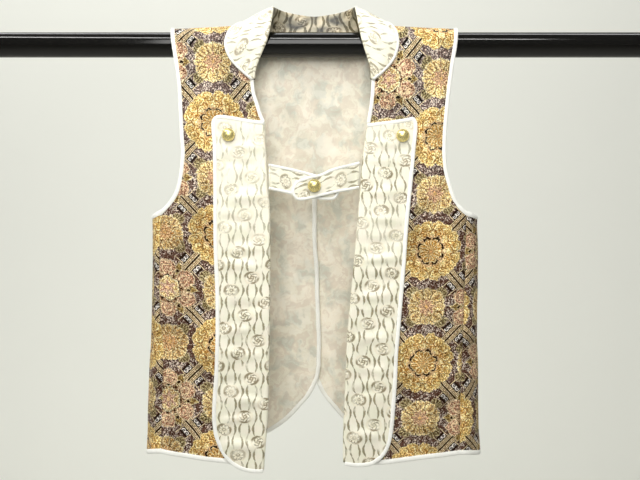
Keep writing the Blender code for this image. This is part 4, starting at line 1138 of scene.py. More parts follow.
# ------------------------------------------------------------------- looks
class Val:
    """A number that flows between nodes."""

    def __init__(self, g, s):
        self.g, self.s = g, s

    def __add__(self, o): return self.g.m("ADD", self, o)
    __radd__ = __add__
    def __sub__(self, o): return self.g.m("SUBTRACT", self, o)
    def __rsub__(self, o): return self.g.m("SUBTRACT", o, self)
    def __mul__(self, o): return self.g.m("MULTIPLY", self, o)
    __rmul__ = __mul__
    def __truediv__(self, o): return self.g.m("DIVIDE", self, o)
    def __neg__(self): return self.g.m("MULTIPLY", self, -1.0)
    def abs(self): return self.g.m("ABSOLUTE", self)
    def sin(self): return self.g.m("SINE", self)
    def cos(self): return self.g.m("COSINE", self)
    def min(self, o): return self.g.m("MINIMUM", self, o)
    def max(self, o): return self.g.m("MAXIMUM", self, o)
    def fold(self, size): return self.g.m("PINGPONG", self, size)
    def floor(self): return self.g.m("FLOOR", self)
    def fract(self): return self.g.m("FRACT", self)
    def wrap(self, lo, hi): return self.g.m("WRAP", self, hi, lo)
    def over(self, edge, soft=0.4):
        """1 where the value is over edge, 0 under it, soft between."""
        return self.g.m("MULTIPLY_ADD", self, 1.0 / soft, 0.5 - edge / soft, clamp=True)
    def under(self, edge, soft=0.4):
        return self.g.m("MULTIPLY_ADD", self, -1.0 / soft, 0.5 + edge / soft, clamp=True)
    def near(self, mid, half, soft=0.4):
        """1 within half of mid."""
        return (self - mid).abs().under(half, soft)


class Graph:
    def __init__(self, name):
        self.mat = bpy.data.materials.new(name)
        self.mat.use_nodes = True
        self.nodes, self.links = self.mat.node_tree.nodes, self.mat.node_tree.links
        self.bsdf = self.nodes["Principled BSDF"]

    def put(self, socket, value):
        if isinstance(value, Val):
            self.links.new(value.s, socket)
        elif isinstance(value, tuple):
            socket.default_value = (*value, 1.0) if len(value) == 3 else value
        else:
            socket.default_value = value

    def m(self, op, a, b=None, c=None, clamp=False):
        n = self.nodes.new("ShaderNodeMath")
        n.operation, n.use_clamp = op, clamp
        for i, x in enumerate((a, b, c)):
            if x is not None:
                self.put(n.inputs[i], x)
        return Val(self, n.outputs[0])

    def uv(self):
        n = self.nodes.new("ShaderNodeUVMap")
        n.uv_map = "cloth"
        s = self.nodes.new("ShaderNodeSeparateXYZ")
        self.links.new(n.outputs[0], s.inputs[0])
        self.place = Val(self, n.outputs[0])
        return Val(self, s.outputs[0]), Val(self, s.outputs[1])

    def vec(self, x, y, z=0.0):
        n = self.nodes.new("ShaderNodeCombineXYZ")
        for i, v in enumerate((x, y, z)):
            self.put(n.inputs[i], v)
        return Val(self, n.outputs[0])

    def noise(self, vector, scale, detail=2.0, rough=0.5, colour=False):
        n = self.nodes.new("ShaderNodeTexNoise")
        n.noise_dimensions = "2D"
        self.links.new(vector.s, n.inputs["Vector"])
        n.inputs["Scale"].default_value = scale
        n.inputs["Detail"].default_value = detail
        n.inputs["Roughness"].default_value = rough
        return Val(self, n.outputs["Color" if colour else "Fac"])

    def cells(self, vector, scale, jitter=1.0, feature="F1"):
        n = self.nodes.new("ShaderNodeTexVoronoi")
        n.voronoi_dimensions, n.feature = "2D", feature
        self.links.new(vector.s, n.inputs["Vector"])
        n.inputs["Scale"].default_value = scale
        n.inputs["Randomness"].default_value = jitter
        return Val(self, n.outputs["Distance"])

    def mix(self, fac, a, b):
        n = self.nodes.new("ShaderNodeMix")
        n.data_type = "RGBA"
        self.put(n.inputs[0], fac)
        self.put(n.inputs[6], a)
        self.put(n.inputs[7], b)
        return Val(self, n.outputs[2])

    def gain(self, colour, factor):
        """Colour made brighter or darker in proportion."""
        n = self.nodes.new("ShaderNodeVectorMath")
        n.operation = "SCALE"
        self.put(n.inputs[0], colour)
        self.put(n.inputs["Scale"], factor)
        return Val(self, n.outputs[0])

    def bump(self, height, strength, distance):
        n = self.nodes.new("ShaderNodeBump")
        n.inputs["Strength"].default_value = strength
        n.inputs["Distance"].default_value = distance
        self.put(n.inputs["Height"], height)
        self.links.new(n.outputs[0], self.bsdf.inputs["Normal"])

    def set(self, **values):
        for key, v in values.items():
            self.put(self.bsdf.inputs[key.replace("_", " ")], v)


def shade(r, g, b):
    """Colour from 0-255 display values."""
    f = lambda c: (c / 255 / 12.92) if c / 255 <= 0.04045 else ((c / 255 + 0.055) / 1.055) ** 2.4
    return (f(r), f(g), f(b))


def gold_look():
    """Lattice brocade: rosettes at the crossings of double bars, smaller ones between
    them, and six-lobed pink medallions, on a dark stippled ground."""
    g = Graph("brocade_gold_cloth")
    U, V = g.uv()
    wob = g.noise(g.place, 0.06, 1.0)

    def pull(scale, detail, size):
        n = g.nodes.new("ShaderNodeSeparateColor")
        g.links.new(g.noise(g.place, scale, detail, colour=True).s, n.inputs[0])
        return (Val(g, n.outputs[0]) - 0.5) * size, (Val(g, n.outputs[1]) - 0.5) * size

    U = U + (wob - 0.5) * 1.6
    straight = U.fold(HALF_U), V.fold(HALF_V)                      # the bars keep their line
    du, dv = pull(0.40, 1.0, 2.8)
    eu, ev = pull(0.11, 2.0, 4.4)
    U, V = U + du + eu, V + dv + ev
    a, b = U.fold(HALF_U), V.fold(HALF_V)
    diag = math.hypot(HALF_U, HALF_V)
    cu, cv = HALF_U / diag, HALF_V / diag
    fleck = g.noise(g.place, 0.60, 2.0, 0.6)                       # broken light on the floats
    grit = g.noise(g.vec(U, V * 0.8), 0.85, 1.0)
    patch = g.noise(g.place, 0.10, 1.0)
    slow = g.noise(g.place, 0.030, 2.0)
    cream, pale, straw = shade(246, 236, 196), shade(232, 214, 150), shade(210, 178, 104)
    ink = shade(18, 10, 12)

    def vary(base, low, high, lo=0.44, hi=0.56):
        """Cloth colour broken by dark and bright threads."""
        c = g.mix(fleck.under(lo, 0.08) * 0.9, base, low)
        return g.mix(fleck.over(hi, 0.08) * 0.9, c, high)

    # ground: brown-purple, with patches of silvery dots
    speck = g.cells(g.vec(U, V), 0.44, 0.80)
    lit_top = V.under(150.0, 160.0)                                  # painted light: a paler, more dotted ground near the top
    dots = speck.under(0.37, 0.12) * (grit + (patch - 0.5) * 0.7 + lit_top * 0.07).over(0.50, 0.12)
    col = g.mix(fleck.over(0.38, 0.28), shade(38, 24, 25), shade(100, 76, 68))
    col = g.mix(grit.under(0.43, 0.08) * 0.75, col, shade(26, 16, 18))
    col = g.mix(patch.under(0.44, 0.12) * 0.45, col, shade(84, 54, 40))
    col = g.mix(dots * 0.85, col, g.mix(patch, shade(206, 186, 170), shade(246, 236, 220)))
    col = g.mix(lit_top * 0.14, col, shade(170, 160, 160))
    metal = dots * 0.25
    # bars from the big rosettes to the medallions, and the small squares beside them
    sa, sb = straight
    d = (sa * cv - sb * cu).abs()
    t = (sa * cu + sb * cv - 45.8).abs()
    line = t.near(5.9, 0.42) * d.under(18.0)
    col = g.mix(line, col, shade(226, 210, 170))
    box = t.under(5.0) * d.under(12.6)
    col = g.mix(box, col, shade(14, 9, 12))
    hook = g.m("SQRT", (t - 2.2) * (t - 2.2) + (d - 8.6) * (d - 8.6))
    ring = (hook.near(1.95, 0.46, 0.3) * d.under(10.0) + hook.under(0.5)).min(1.0) * box
    col = g.mix(ring, col, shade(248, 244, 236))
    bar = d.under(5.0)
    grain = ((d - 1.4) * 3.9).cos().over(0.15, 0.7)
    col = g.mix(bar, col, g.mix(grain, vary(shade(150, 124, 92), shade(104, 80, 54), shade(186, 164, 128)),
                                vary(shade(222, 204, 162), shade(182, 158, 116), shade(255, 246, 216))))
    col = g.mix(d.near(4.9, 0.32), col, shade(216, 200, 158))
    col = g.mix(d.near(5.45, 0.30), col, shade(48, 30, 24))
    col = g.mix(d.under(0.78, 0.4), col, ink)
    metal = metal * (1 - box) + bar * 0.18
    # pink medallion, six-fold
    xp, yp = HALF_U - a, HALF_V - b
    r = g.m("SQRT", xp * xp + yp * yp)
    th = g.m("ARCTAN2", yp, xp)
    star6 = (th * 6.0).cos()                                     # 1 on the lobes' gaps, -1 on the lobes
    th = th.fold(math.pi / 6)
    X, Y = r * th.cos(), r * th.sin()
    lx, ly = X - 19.7, Y - 11.4
    lobe = g.m("SQRT", lx * lx + ly * ly * 1.08)
    swirl = (g.m("ARCTAN2", ly, lx) * 2.0 + lobe * 0.9 + eu * 2.2).sin()
    pinkc = vary(shade(202, 154, 122), shade(136, 88, 64), shade(250, 222, 190), 0.45, 0.55)
    m = r.under(22.5)
    col = g.mix(m, col, vary(shade(164, 124, 92), shade(84, 54, 40), shade(226, 196, 156)))
    leaf = (X - 25.0).abs() * 0.75 + Y * 1.1
    col = g.mix(leaf.under(6.4), col, shade(232, 220, 176))
    col = g.mix(leaf.under(5.4), col, vary(shade(140, 110, 68), shade(74, 50, 30), shade(206, 184, 112)))
    m2 = lobe.under(9.7)
    col = g.mix(m2, col, vary(shade(228, 208, 168), shade(170, 134, 96), shade(248, 236, 206)))
    col = g.mix(lobe.under(8.4), col, pinkc)
    col = g.mix(swirl.over(0.45, 0.5) * lobe.under(7.8) * lobe.over(1.0), col, shade(236, 212, 172))
    col = g.mix(swirl.near(-0.25, 0.22, 0.3) * lobe.under(8.2), col, shade(112, 72, 44))
    dot = g.m("SQRT", (X - 22.8) * (X - 22.8) + Y * Y)
    col = g.mix(dot.under(2.5), col, shade(206, 186, 146))
    col = g.mix(dot.under(1.7), col, ink)
    bead = g.m("SQRT", (X - 14.6) * (X - 14.6) + Y * Y).min(g.m("SQRT", (X - 12.7) * (X - 12.7) + (Y - 7.4) * (Y - 7.4)))
    med = r - (13.0 - star6 * 0.9)
    col = g.mix(med.under(1.3), col, vary(shade(112, 76, 54), shade(50, 30, 26), shade(196, 168, 128)))
    col = g.mix(bead.under(1.3), col, ink)
    col = g.mix(med.under(0.3) * fleck.over(0.40, 0.1), col, cream)
    col = g.mix(med.under(-1.0), col, vary(shade(220, 184, 118), shade(154, 112, 62), shade(255, 244, 196), 0.46, 0.53))
    star = r - (7.6 - star6 * 2.6)
    col = g.mix(star.under(0.5) * 0.8, col, shade(240, 224, 186))
    col = g.mix(star.under(-0.4), col, vary(shade(196, 152, 126), shade(146, 98, 76), shade(238, 212, 184), 0.46, 0.53))
    col = g.mix(r.under(2.2), col, shade(232, 200, 150))
    cover = (m + leaf.under(5.6) + m2).min(1.0)
    metal = metal * (1 - cover) + cover * 0.16
    # small rosette, and the ribbed leaf at each of its corners
    s = (a * cv - b * cu).over(0.0, 0.01)
    xs = a + s * (HALF_U - a * 2.0)
    ys = HALF_V - b + s * (b * 2.0 - HALF_V)
    hi, lo = xs.max(ys), xs.min(ys)
    e1 = (hi - lo) * 0.7071
    k1 = (hi + lo) * 0.7071
    tuft = g.m("SQRT", (k1 - 22.6) * (k1 - 22.6) + e1 * e1 * 0.75) - 5.8
    rib = (g.m("ARCTAN2", e1, k1 - 15.0) * 22.0).cos()
    col = g.mix(tuft.under(0.0), col, shade(190, 178, 140))
    col = g.mix(tuft.under(-0.7), col, g.mix(rib.over(0.1, 1.2), vary(shade(92, 74, 50), shade(58, 42, 30), shade(132, 116, 82)),
                                             vary(shade(170, 158, 112), shade(126, 112, 74), shade(216, 206, 166))))
    r = g.m("SQRT", hi * hi + lo * lo)
    ang = g.m("ARCTAN2", lo, hi)
    pa = g.m("SQRT", (hi - 14.4) * (hi - 14.4) + lo * lo * 1.2) - 6.2
    pd = g.m("SQRT", (k1 - 15.4) * (k1 - 15.4) + e1 * e1) - 6.4
    pm = g.m("SQRT", (hi - 15.0) * (hi - 15.0) + (lo - 6.4) * (lo - 6.4)) - 4.6
    body = pa.min(pd).min(pm).min(r - 13.0)
    cover = body.under(0.0)
    col = g.mix(cover, col, vary(shade(240, 224, 168), shade(196, 164, 100), shade(252, 246, 212)))
    rich = g.mix(s, shade(212, 178, 108), shade(200, 152, 78))
    col = g.mix(body.under(-1.3, 0.8), col, vary(rich, shade(140, 98, 46), shade(250, 228, 166), 0.45, 0.57))
    fingers = (ang * 24.0 + (fleck - 0.5) * 14.0).cos()             # a few cream fingers in each petal
    col = g.mix(fingers.over(0.45, 0.7) * r.over(10.0, 3.0) * body.under(-0.6) * 0.8, col, shade(250, 240, 196))
    split = (pd.near(-0.2, 0.55) + pa.near(-0.1, 0.45)).min(1.0) * r.over(9.0) * body.under(-0.5)
    col = g.mix(split * 0.85, col, shade(112, 76, 40))
    vein = lo.under(0.7) * r.near(13.4, 4.2) + e1.under(0.8) * r.near(14.6, 4.4)
    col = g.mix(vein.min(1.0) * 0.8, col, shade(140, 98, 62))
    core = r - (9.2 + (ang * 8.0).cos() * 1.6)
    col = g.mix(core.under(0.6), col, vary(shade(232, 210, 158), shade(150, 110, 66), shade(250, 240, 200)))
    rays = (ang * 16.0).cos()
    heartc = g.mix(s, shade(184, 132, 112), shade(206, 142, 66))
    col = g.mix(core.under(-1.2), col, vary(heartc, shade(122, 80, 52), shade(246, 212, 168), 0.45, 0.56))
    col = g.mix(rays.over(0.45, 0.5) * r.under(7.8) * r.over(2.6) * 0.75, col, shade(232, 206, 160))
    col = g.mix(r.under(2.0), col, shade(222, 184, 122))
    metal = metal * (1 - cover) + cover * 0.22
    # big rosette: eight petals of two lobes, a lobe's own axis being mid
    hi, lo = a.max(b), a.min(b)
    r = g.m("SQRT", hi * hi + lo * lo)
    ang = g.m("ARCTAN2", lo, hi)
    off = ang - 0.237 - ang.over(0.405, 0.004) * 0.339
    al, ac = r * off.cos(), r * off.sin()
    p1 = g.m("SQRT", (hi - 25.4) * (hi - 25.4) + (lo - 6.4) * (lo - 6.4)) - 7.3
    p2 = g.m("SQRT", (hi - 21.9) * (hi - 21.9) + (lo - 14.4) * (lo - 14.4)) - 7.0
    lobe = p1.min(p2)
    body = lobe.min(r - 23.0)
    body_m = body.under(0.0)
    inner = vary(shade(200, 148, 76), shade(136, 88, 40), shade(250, 218, 150), 0.45, 0.57)
    rim = vary(shade(236, 214, 146), shade(190, 152, 84), shade(255, 246, 204), 0.44, 0.56)
    outer = vary(shade(214, 180, 106), shade(160, 118, 58), shade(248, 230, 168), 0.45, 0.56)
    col = g.mix(body_m, col, rim)
    col = g.mix(lobe.under(-1.3, 0.6), col, g.mix((r - 23.0).over(0.0, 9.0), inner, outer))
    scroll = (g.m("ARCTAN2", ac, al - 24.4) + (lobe * 0.75) + du * 0.8).sin()
    col = g.mix(lobe.near(-2.7, 0.5) * scroll.over(-0.4, 0.5) * r.over(19.0, 1.5), col, shade(128, 88, 44))
    col = g.mix(lobe.near(-3.9, 0.6) * scroll.over(-0.2, 0.5) * r.over(20.0, 1.5), col, shade(250, 238, 184))
    col = g.mix(lobe.near(-5.6, 0.5) * scroll.under(0.2, 0.5), col, shade(126, 84, 40))
    col = g.mix((off.abs() * r).over(4.8, 0.8) * lobe.under(-0.2) * r.over(19.0, 2.0) * r.under(24.6, 1.6) * 0.8, col, shade(122, 84, 42))
    px, py = r * (ang - 0.3927).cos(), r * (ang - 0.3927).sin()     # a petal's core, between its lobes
    heart = g.m("SQRT", (px - 19.6) * (px - 19.6) * 0.42 + py * py * 0.9)
    col = g.mix(heart.under(3.4, 1.6), col, vary(shade(196, 142, 66), shade(140, 90, 38), shade(244, 212, 138), 0.46, 0.57))
    col = g.mix(heart.near(1.9, 0.5) * fleck.over(0.48, 0.1), col, shade(248, 228, 170))
    notch = (lo.under(0.35, 0.5) + (hi - lo).under(0.6, 0.6)).min(1.0) * r.over(25.0, 5.0)
    col = g.mix(notch * body_m * 0.45, col, shade(96, 64, 34))
    bulge = (ang * 8.0).cos()
    ring_r = r - (13.2 - bulge * 1.2)
    col = g.mix(r.under(17.2, 0.8), col, vary(shade(204, 158, 94), shade(138, 92, 46), shade(252, 230, 180)))
    col = g.mix(bulge.over(0.62, 0.5) * r.near(16.4, 1.0) * 0.7, col, shade(240, 220, 176))
    col = g.mix(ring_r.near(1.9, 0.5) * 0.8, col, shade(196, 170, 136))
    col = g.mix(ring_r.near(0.5, 1.05) * bulge.under(0.60, 0.25), col, ink)
    col = g.mix(ring_r.under(-0.6) * fleck.over(0.42, 0.1), col, shade(240, 224, 172))
    col = g.mix(ring_r.under(-1.5), col, vary(shade(196, 148, 76), shade(146, 100, 46), shade(232, 194, 122), 0.43, 0.59))
    rays = (bulge.over(0.86, 0.2) + bulge.under(-0.93, 0.08)).min(1.0)
    col = g.mix(rays * r.under(11.4) * r.over(1.4), col, shade(246, 232, 182))
    col = g.mix(r.under(2.4), col, shade(206, 160, 104))
    metal = metal * (1 - body_m) + body_m * 0.24
    # threads: weft floats across, with slow change of tone
    weft = (V * 11.4).sin() * 0.5 + 0.5
    warp = (U * 6.3 + (V * 5.7).sin() * 1.4).sin() * 0.5 + 0.5
    thread = weft * 0.65 + warp * 0.35
    col = g.mix(thread * 0.12, col, shade(40, 24, 14))
    col = g.gain(col, grit.over(0.57, 0.08) * 0.46 - grit.under(0.44, 0.08) * 0.38 + (slow - 0.5) * 1.2 + 1.0)
    # painted shade: the gold goes browner and darker towards the bottom, with a slight warm cast all over
    col = g.mix((1 - lit_top) * 0.09 + 0.02, col, shade(112, 66, 12))
    depth = g.nodes.new("ShaderNodeGamma")
    g.links.new(col.s, depth.inputs[0])
    depth.inputs[1].default_value = 1.04
    col = Val(g, depth.outputs[0])
    g.bump(thread * 0.5 + metal * 0.9 + fleck * 1.1, 0.55, 0.0005)
    g.set(Base_Color=col, Metallic=metal * 0.5, Roughness=0.40 + grit * 0.14)
    g.set(Specular_IOR_Level=0.06, Sheen_Weight=0.01, Sheen_Roughness=0.4)
    return g.mat


def cream_look(name="brocade_cream_cloth", tint=1.0, faint=1.0, bold=1.0, turned=False, fall=0.0, uneven=0.0):
    """Rising-steam brocade: wavy upright lines in pairs, with round flowers between.

    tint: painted shade that darkens every colour, below 1 on the collar's stand; fall: how far the pattern pales
    towards a collar's outer edge; uneven: slow changes of tone.
    """
    g = Graph(name)
    U, V = g.uv()
    if turned:
        U, V = V, U
    wob = g.noise(g.place, 0.05, 1.0)
    jog = g.noise(g.place, 0.35, 1.0)
    U = U + (wob - 0.5) * 2.4 + (jog - 0.5) * 1.1
    V = V + (jog - 0.5) * 1.3
    # a tint below 1 darkens every colour: painted shade
    sh = lambda r, q, b: tuple(c * tint ** k for c, k in zip(shade(r, q, b), (1.0, 1.08, 1.25)))
    warp = g.noise(g.vec(U * 1.6, V * 0.10), 1.0, 2.0)
    rib = (V * 4.6).sin() * 0.5 + 0.5
    col = g.mix(g.noise(g.place, 0.03, 2.0), sh(238, 234, 213), sh(250, 248, 232))
    col = g.mix(warp.over(0.46, 0.3) * 0.28, col, sh(228, 221, 194))
    col = g.mix(rib * 0.08, col, sh(208, 198, 168))
    tinge = g.noise(g.vec(U * 0.6 + 90.0, V + 40.0), 0.09, 1.0)
    col = g.mix(tinge.over(0.60, 0.12) * 0.14, col, sh(246, 226, 214))
    col = g.mix(tinge.under(0.42, 0.14) * 0.24, col, sh(234, 236, 206))
    # painted glare: the strokes break up and the pattern pales near the lapels' tops
    right = U.under(0.0, 4.0) * V.under(-40.0, 10.0)          # the right lapel is paler near its top
    top_glare = 0.0 - (V + 285.0).over(90.0, 150.0) * right * 0.115
    left = U.over(0.0, 4.0) * V.under(-40.0, 10.0)            # the left one only in its first few centimetres
    plain = (1 - V.over(-185.0, 80.0) * right * 0.40) * (1 - V.over(-108.0, 40.0) * left * 0.55)
    band = V.near(-203.0, 24.0, 34.0)                         # a paler band across both lapels
    plain = plain * (1 - band * (left * 0.46 + right * 0.24)) * (1 - V.over(62.0, 30.0) * fall)
    # wavy lines, every other one the other way round
    cell = (U / 15.0).fract() - 0.5
    side = cell.abs() * 15.0                                  # 0 at the middle of a cell, 7.5 between
    turn = V * (2 * math.pi / 27.4)
    wave = turn.cos()
    off = (side - 3.75 - wave * 1.72).abs()
    thick = g.m("POWER", wave.abs(), 0.8) * (1.47 - 0.45 * bold) + (0.80 * bold - 0.64)
    ink = (off - thick).under(0.0, 0.55)
    load = g.noise(g.vec(U * 1.0, V * 0.7), 0.11, 2.0) + top_glare  # the strokes come and go
    ink = ink * load.over(0.55 - 0.14 * bold, 0.20) * plain
    # round flowers
    row = (V / 13.7 + 0.5).floor()
    dx = (U - row * 22.5).wrap(-30.0, 30.0)
    dv = V - row * 13.7
    rr = g.m("SQRT", (dx / 7.9) * (dx / 7.9) + (dv / 6.6) * (dv / 6.6))
    th = g.m("ARCTAN2", dv, dx)
    flower = rr.under(1.16, 0.12)
    ink = ink * (1 - flower)
    kind = (row * 2.39).sin()
    spin = kind * 3.0
    rim = rr.near(0.90, 0.15, 0.12) * (th * 2.0 + spin).sin().over(-0.25, 0.9)
    scallop = (rr + (th * 9.0 + spin).sin() * 0.07).near(0.78, 0.075, 0.08)
    arms = (th * 2.0 + rr * 6.0 + spin).sin().near(0.0, 0.46, 0.4) * rr.under(0.80, 0.12) * rr.over(0.20, 0.1)
    leafs = (th * 5.0 - rr * 3.0 - spin).sin().near(0.3, 0.25, 0.3) * rr.near(0.52, 0.18, 0.12)
    eye = rr.near(0.20, 0.10, 0.1)
    other = kind.over(0.1, 0.05)
    pips = (th * 7.0 + spin * 2.0).sin().over(0.35, 0.3) * rr.near(0.60, 0.09, 0.08)
    fl = (rim + arms * (1 - other) * 0.95 + (leafs * 0.9 + scallop * 0.9) * other + pips * 0.7 + eye * 0.9).min(1.0)
    fl = fl * (0.30 + load.over(0.40, 0.26) * 0.70) * plain
    col = g.mix(flower * 0.30, col, sh(230, 216, 184))
    shine = (rr + (th - 0.9).cos() * 0.10).near(0.66, 0.13, 0.2) * flower
    col = g.mix(shine * 0.6, col, sh(255, 252, 236))
    tone = g.mix(jog.over(0.5, 0.3), sh(108, 102, 68), sh(140, 128, 90))
    col = g.mix(ink * (0.86 * faint), col, tone)
    col = g.mix(fl * (0.86 * faint), col, g.mix(tinge, sh(100, 92, 56), sh(136, 118, 80)))
    if uneven:
        col = g.gain(col, (tinge - 0.5) * uneven + 1.0)
    g.bump(rib * 0.3 + warp * 0.5 + ink * 0.6 + fl * 0.6, 0.35, 0.0004)
    g.set(Base_Color=col, Roughness=0.36 + rib * 0.08 + warp * 0.10)
    g.set(Specular_IOR_Level=0.6, Sheen_Weight=0.15, Sheen_Roughness=0.35)
    return g.mat


def lining_look():
    """Smooth lining with faint, watery blotches."""
    g = Graph("lining_cloth")
    U, V = g.uv()
    big = g.noise(g.place, 0.030, 3.0, 0.55)
    mid = g.noise(g.vec(U + 140.0, V * 0.8 - 60.0), 0.052, 3.0, 0.55)
    tint = g.noise(g.vec(U * 0.9 - 300.0, V + 210.0), 0.030, 2.0, 0.5)
    curls = g.noise(g.vec(U + mid * 60.0, V + big * 60.0), 0.075, 3.0, 0.6)
    col = g.mix(big.over(0.50, 0.30), shade(243, 238, 219), shade(229, 223, 204))
    col = g.mix(mid.over(0.53, 0.12) * 0.70, col, shade(204, 206, 192))
    col = g.mix(tint.over(0.54, 0.16) * 0.60, col, shade(254, 244, 226))
    col = g.mix(curls.over(0.55, 0.12) * 0.36, col, shade(212, 194, 176))
    col = g.mix(curls.under(0.42, 0.10) * 0.30, col, shade(252, 248, 236))
    weave = (U * 9.0).sin() * 0.25 + (V * 9.0).sin() * 0.25 + 0.5
    col = g.mix(weave * 0.06, col, shade(150, 140, 124))
    g.bump(weave + big * 2.0, 0.2, 0.0004)
    g.set(Base_Color=col, Roughness=0.58 + weave * 0.05)
    g.set(Specular_IOR_Level=0.35, Sheen_Weight=0.10, Sheen_Roughness=0.5)
    return g.mat


def binding_look():
    """White satin tape, folded over the edge and stitched down."""
    g = Graph("binding_tape")
    U, V = g.uv()
    tone = g.noise(g.place, 0.09, 2.0)
    col = g.mix(tone, shade(252, 252, 246), shade(240, 240, 232))
    rib = ((U + V * 0.6) * 5.5).sin() * 0.5 + 0.5
    col = g.mix(rib * 0.06, col, shade(196, 190, 174))
    stitch = (U / 2.6).fract().near(0.5, 0.28, 0.1) * V.near(4.3, 0.22, 0.2)
    col = g.mix(stitch * 0.35, col, shade(176, 168, 148))
    pucker = (U * 1.15 + tone * 5.0).sin()
    g.bump(rib * 0.3 + pucker * 0.5 - stitch * 0.9, 0.3, 0.0005)
    g.set(Base_Color=col, Roughness=0.44 + rib * 0.08)
    g.set(Specular_IOR_Level=0.5, Sheen_Weight=0.2, Sheen_Roughness=0.4)
    return g.mat


def brass_look():
    """Pale gilt of a domed button with a satin finish, rougher towards its base, with painted shade darkening it there.
    """
    g = Graph("button_metal")
    U, V = g.uv()
    tone = g.noise(g.place, 0.5, 3.0)
    col = g.mix(tone, shade(248, 234, 168), shade(226, 208, 128))
    # painted shade: darker olive towards the button's base
    low = V.under(2.8, 1.4)
    col = g.mix(low * 0.7, col, shade(112, 92, 30))
    scratch = g.noise(g.vec(U * 3.0, V * 0.4), 2.0, 2.0)
    g.bump(scratch, 0.08, 0.0003)
    g.set(Base_Color=col, Metallic=0.72, Roughness=0.24 + tone * 0.08 + low * 0.12)
    return g.mat


def rod_look():
    """Black gloss paint on a tube, with the faintest drag of the brush along it."""
    g = Graph("rod_gloss")
    U, V = g.uv()
    fine = g.noise(g.vec(U * 0.6, V * 0.02), 1.2, 2.0)
    dust = g.noise(g.vec(U * 2.0, V * 0.5), 0.6, 3.0).over(0.62, 0.2)
    col = g.mix(fine, shade(5, 5, 4), shade(12, 11, 9))
    col = g.mix(dust * 0.16, col, shade(60, 58, 50))
    g.bump(fine, 0.04, 0.0003)
    g.set(Base_Color=col, Roughness=0.09 + fine * 0.04 + dust * 0.06)
    g.set(Specular_IOR_Level=0.40)
    return g.mat


def thread_look():
    g = Graph("stitch_thread")
    U, V = g.uv()
    ply = (U * 7.0 + V * 3.0).sin() * 0.5 + 0.5
    col = g.mix(ply, shade(226, 220, 198), shade(196, 188, 160))
    g.bump(ply, 0.3, 0.0002)
    g.set(Base_Color=col, Roughness=0.55 + ply * 0.1)
    return g.mat


def stage_look(name, colour, scale):
    g = Graph(name)
    n = g.nodes.new("ShaderNodeTexNoise")
    c = g.nodes.new("ShaderNodeTexCoord")
    g.links.new(c.outputs["Object"], n.inputs["Vector"])
    n.inputs["Scale"].default_value = scale
    fac = Val(g, n.outputs["Fac"])
    g.set(Base_Color=g.mix(fac * 0.5, colour, tuple(0.94 * x for x in colour)), Roughness=0.85 + fac * 0.05)
    return g.mat


# ---------------------------------------------------------- small stitches
def stitch_rows():
    """Thread holding the tabs to the folds, one short oval for each stitch."""
    pts, faces, maps = [], [], []

    def one(at, along, up, size, thick):
        side = np.cross(along, up)
        base = len(pts)
        for t, w in ((-1, 0.25), (-0.6, 0.85), (0, 1.0), (0.6, 0.85), (1, 0.25)):
            for k in range(6):
                a = math.pi * k / 3
                pts.append(at + along * t * size + (side * math.cos(a) + up * (math.sin(a) - 0.3)) * thick * w)
                maps.append((t * size, k))
        for i in range(4):
            for k in range(6):
                l = (k + 1) % 6
                faces.append((base + i * 6 + k, base + i * 6 + l, base + (i + 1) * 6 + l, base + (i + 1) * 6 + k))

    for side, x in ((-1, -47.6), (1, 47.4)):
        table = STRAP_RIGHT if side < 0 else STRAP_LEFT
        mid = float(smooth(table["x"], table["mid"], x))
        half = float(smooth(table["x"], table["half"], x)) - 1.2
        for z in np.arange(mid - half, mid + half, 2.3):
            xx, zz = np.array([x]), np.array([z])
            y = float((strap_level(side, xx) - strap_lift(side, xx, zz))[0]) - STRAP_WALL / 2 + 0.1
            deep = y if abs(z - mid) < half - 3 else y - 0.7
            one(np.array([x, deep, z]), np.array([0, 0, 1.0]), np.array([0, -1.0, 0]), 0.85, 0.28)
    return piece("tab_stitches", pts, faces, maps, ["thread"], [])


# ------------------------------------------------------------------- build
# worn: the cream look with painted shade, darkened for the collar's stand
LOOK.update(gold=gold_look(), cream=cream_look(bold=1.22), worn=cream_look("brocade_cream_worn", 0.40, 1.22, 2.2, uneven=3.2),
            pale=cream_look("brocade_cream_pale", 1.0, 0.86, 0.84, fall=0.70),
            turned=cream_look("brocade_cream_turned", 1.0, 0.9, 1.15, True),
            lining=lining_look(), binding=binding_look(), brass=brass_look(), rod=rod_look(),
            thread=thread_look())

made = {}
for s in (-1, 1):
    name = SIDE_NAME[s]
    made["front_" + name] = make_front(s)
    made["side_" + name] = make_gusset(s)
    made["lapel_" + name] = make_lapel(s)
    made["strap_" + name], made["strap_tape_" + name] = make_strap(s)
    made["tapes_" + name] = make_bindings(s)
made["back"] = make_back("back_brocade", "back", BACK_WALL - 0.2, 0.0, ["gold"], False)
made["back_lining"] = make_back("back_lining_silk", "back_lining", LINING_WALL - 0.2,
                                -(BACK_WALL / 2 + SEAM_GAP + LINING_WALL / 2), ["lining"], True)
made["collar"], made["collar_tape"] = make_collar()
for i in range(3):
    made[BUTTONS["name"][i]] = make_button(i)
made["rod"] = make_rod()
made["stitches"] = stitch_rows()


# ------------------------------------------------------------- the cut cloth
def cut_of(obj):
    """Width, length and area of a piece's flat cut in metres, from its map in millimetres."""
    mesh = obj.data
    uv = np.zeros(2 * len(mesh.loops), np.float32)
    mesh.uv_layers["cloth"].data.foreach_get("uv", uv)
    uv = uv.reshape(-1, 2).astype(float)
    area = 0.0
    for f in mesh.polygons:
        c = uv[f.loop_start:f.loop_start + f.loop_total]
        d = np.roll(c, -1, axis=0)
        area += abs(float((c[:, 0] * d[:, 1] - c[:, 1] * d[:, 0]).sum())) / 2
    width, length = (uv.max(axis=0) - uv.min(axis=0)) * MM
    return round(float(width), 3), round(float(length), 3), area * MM * MM


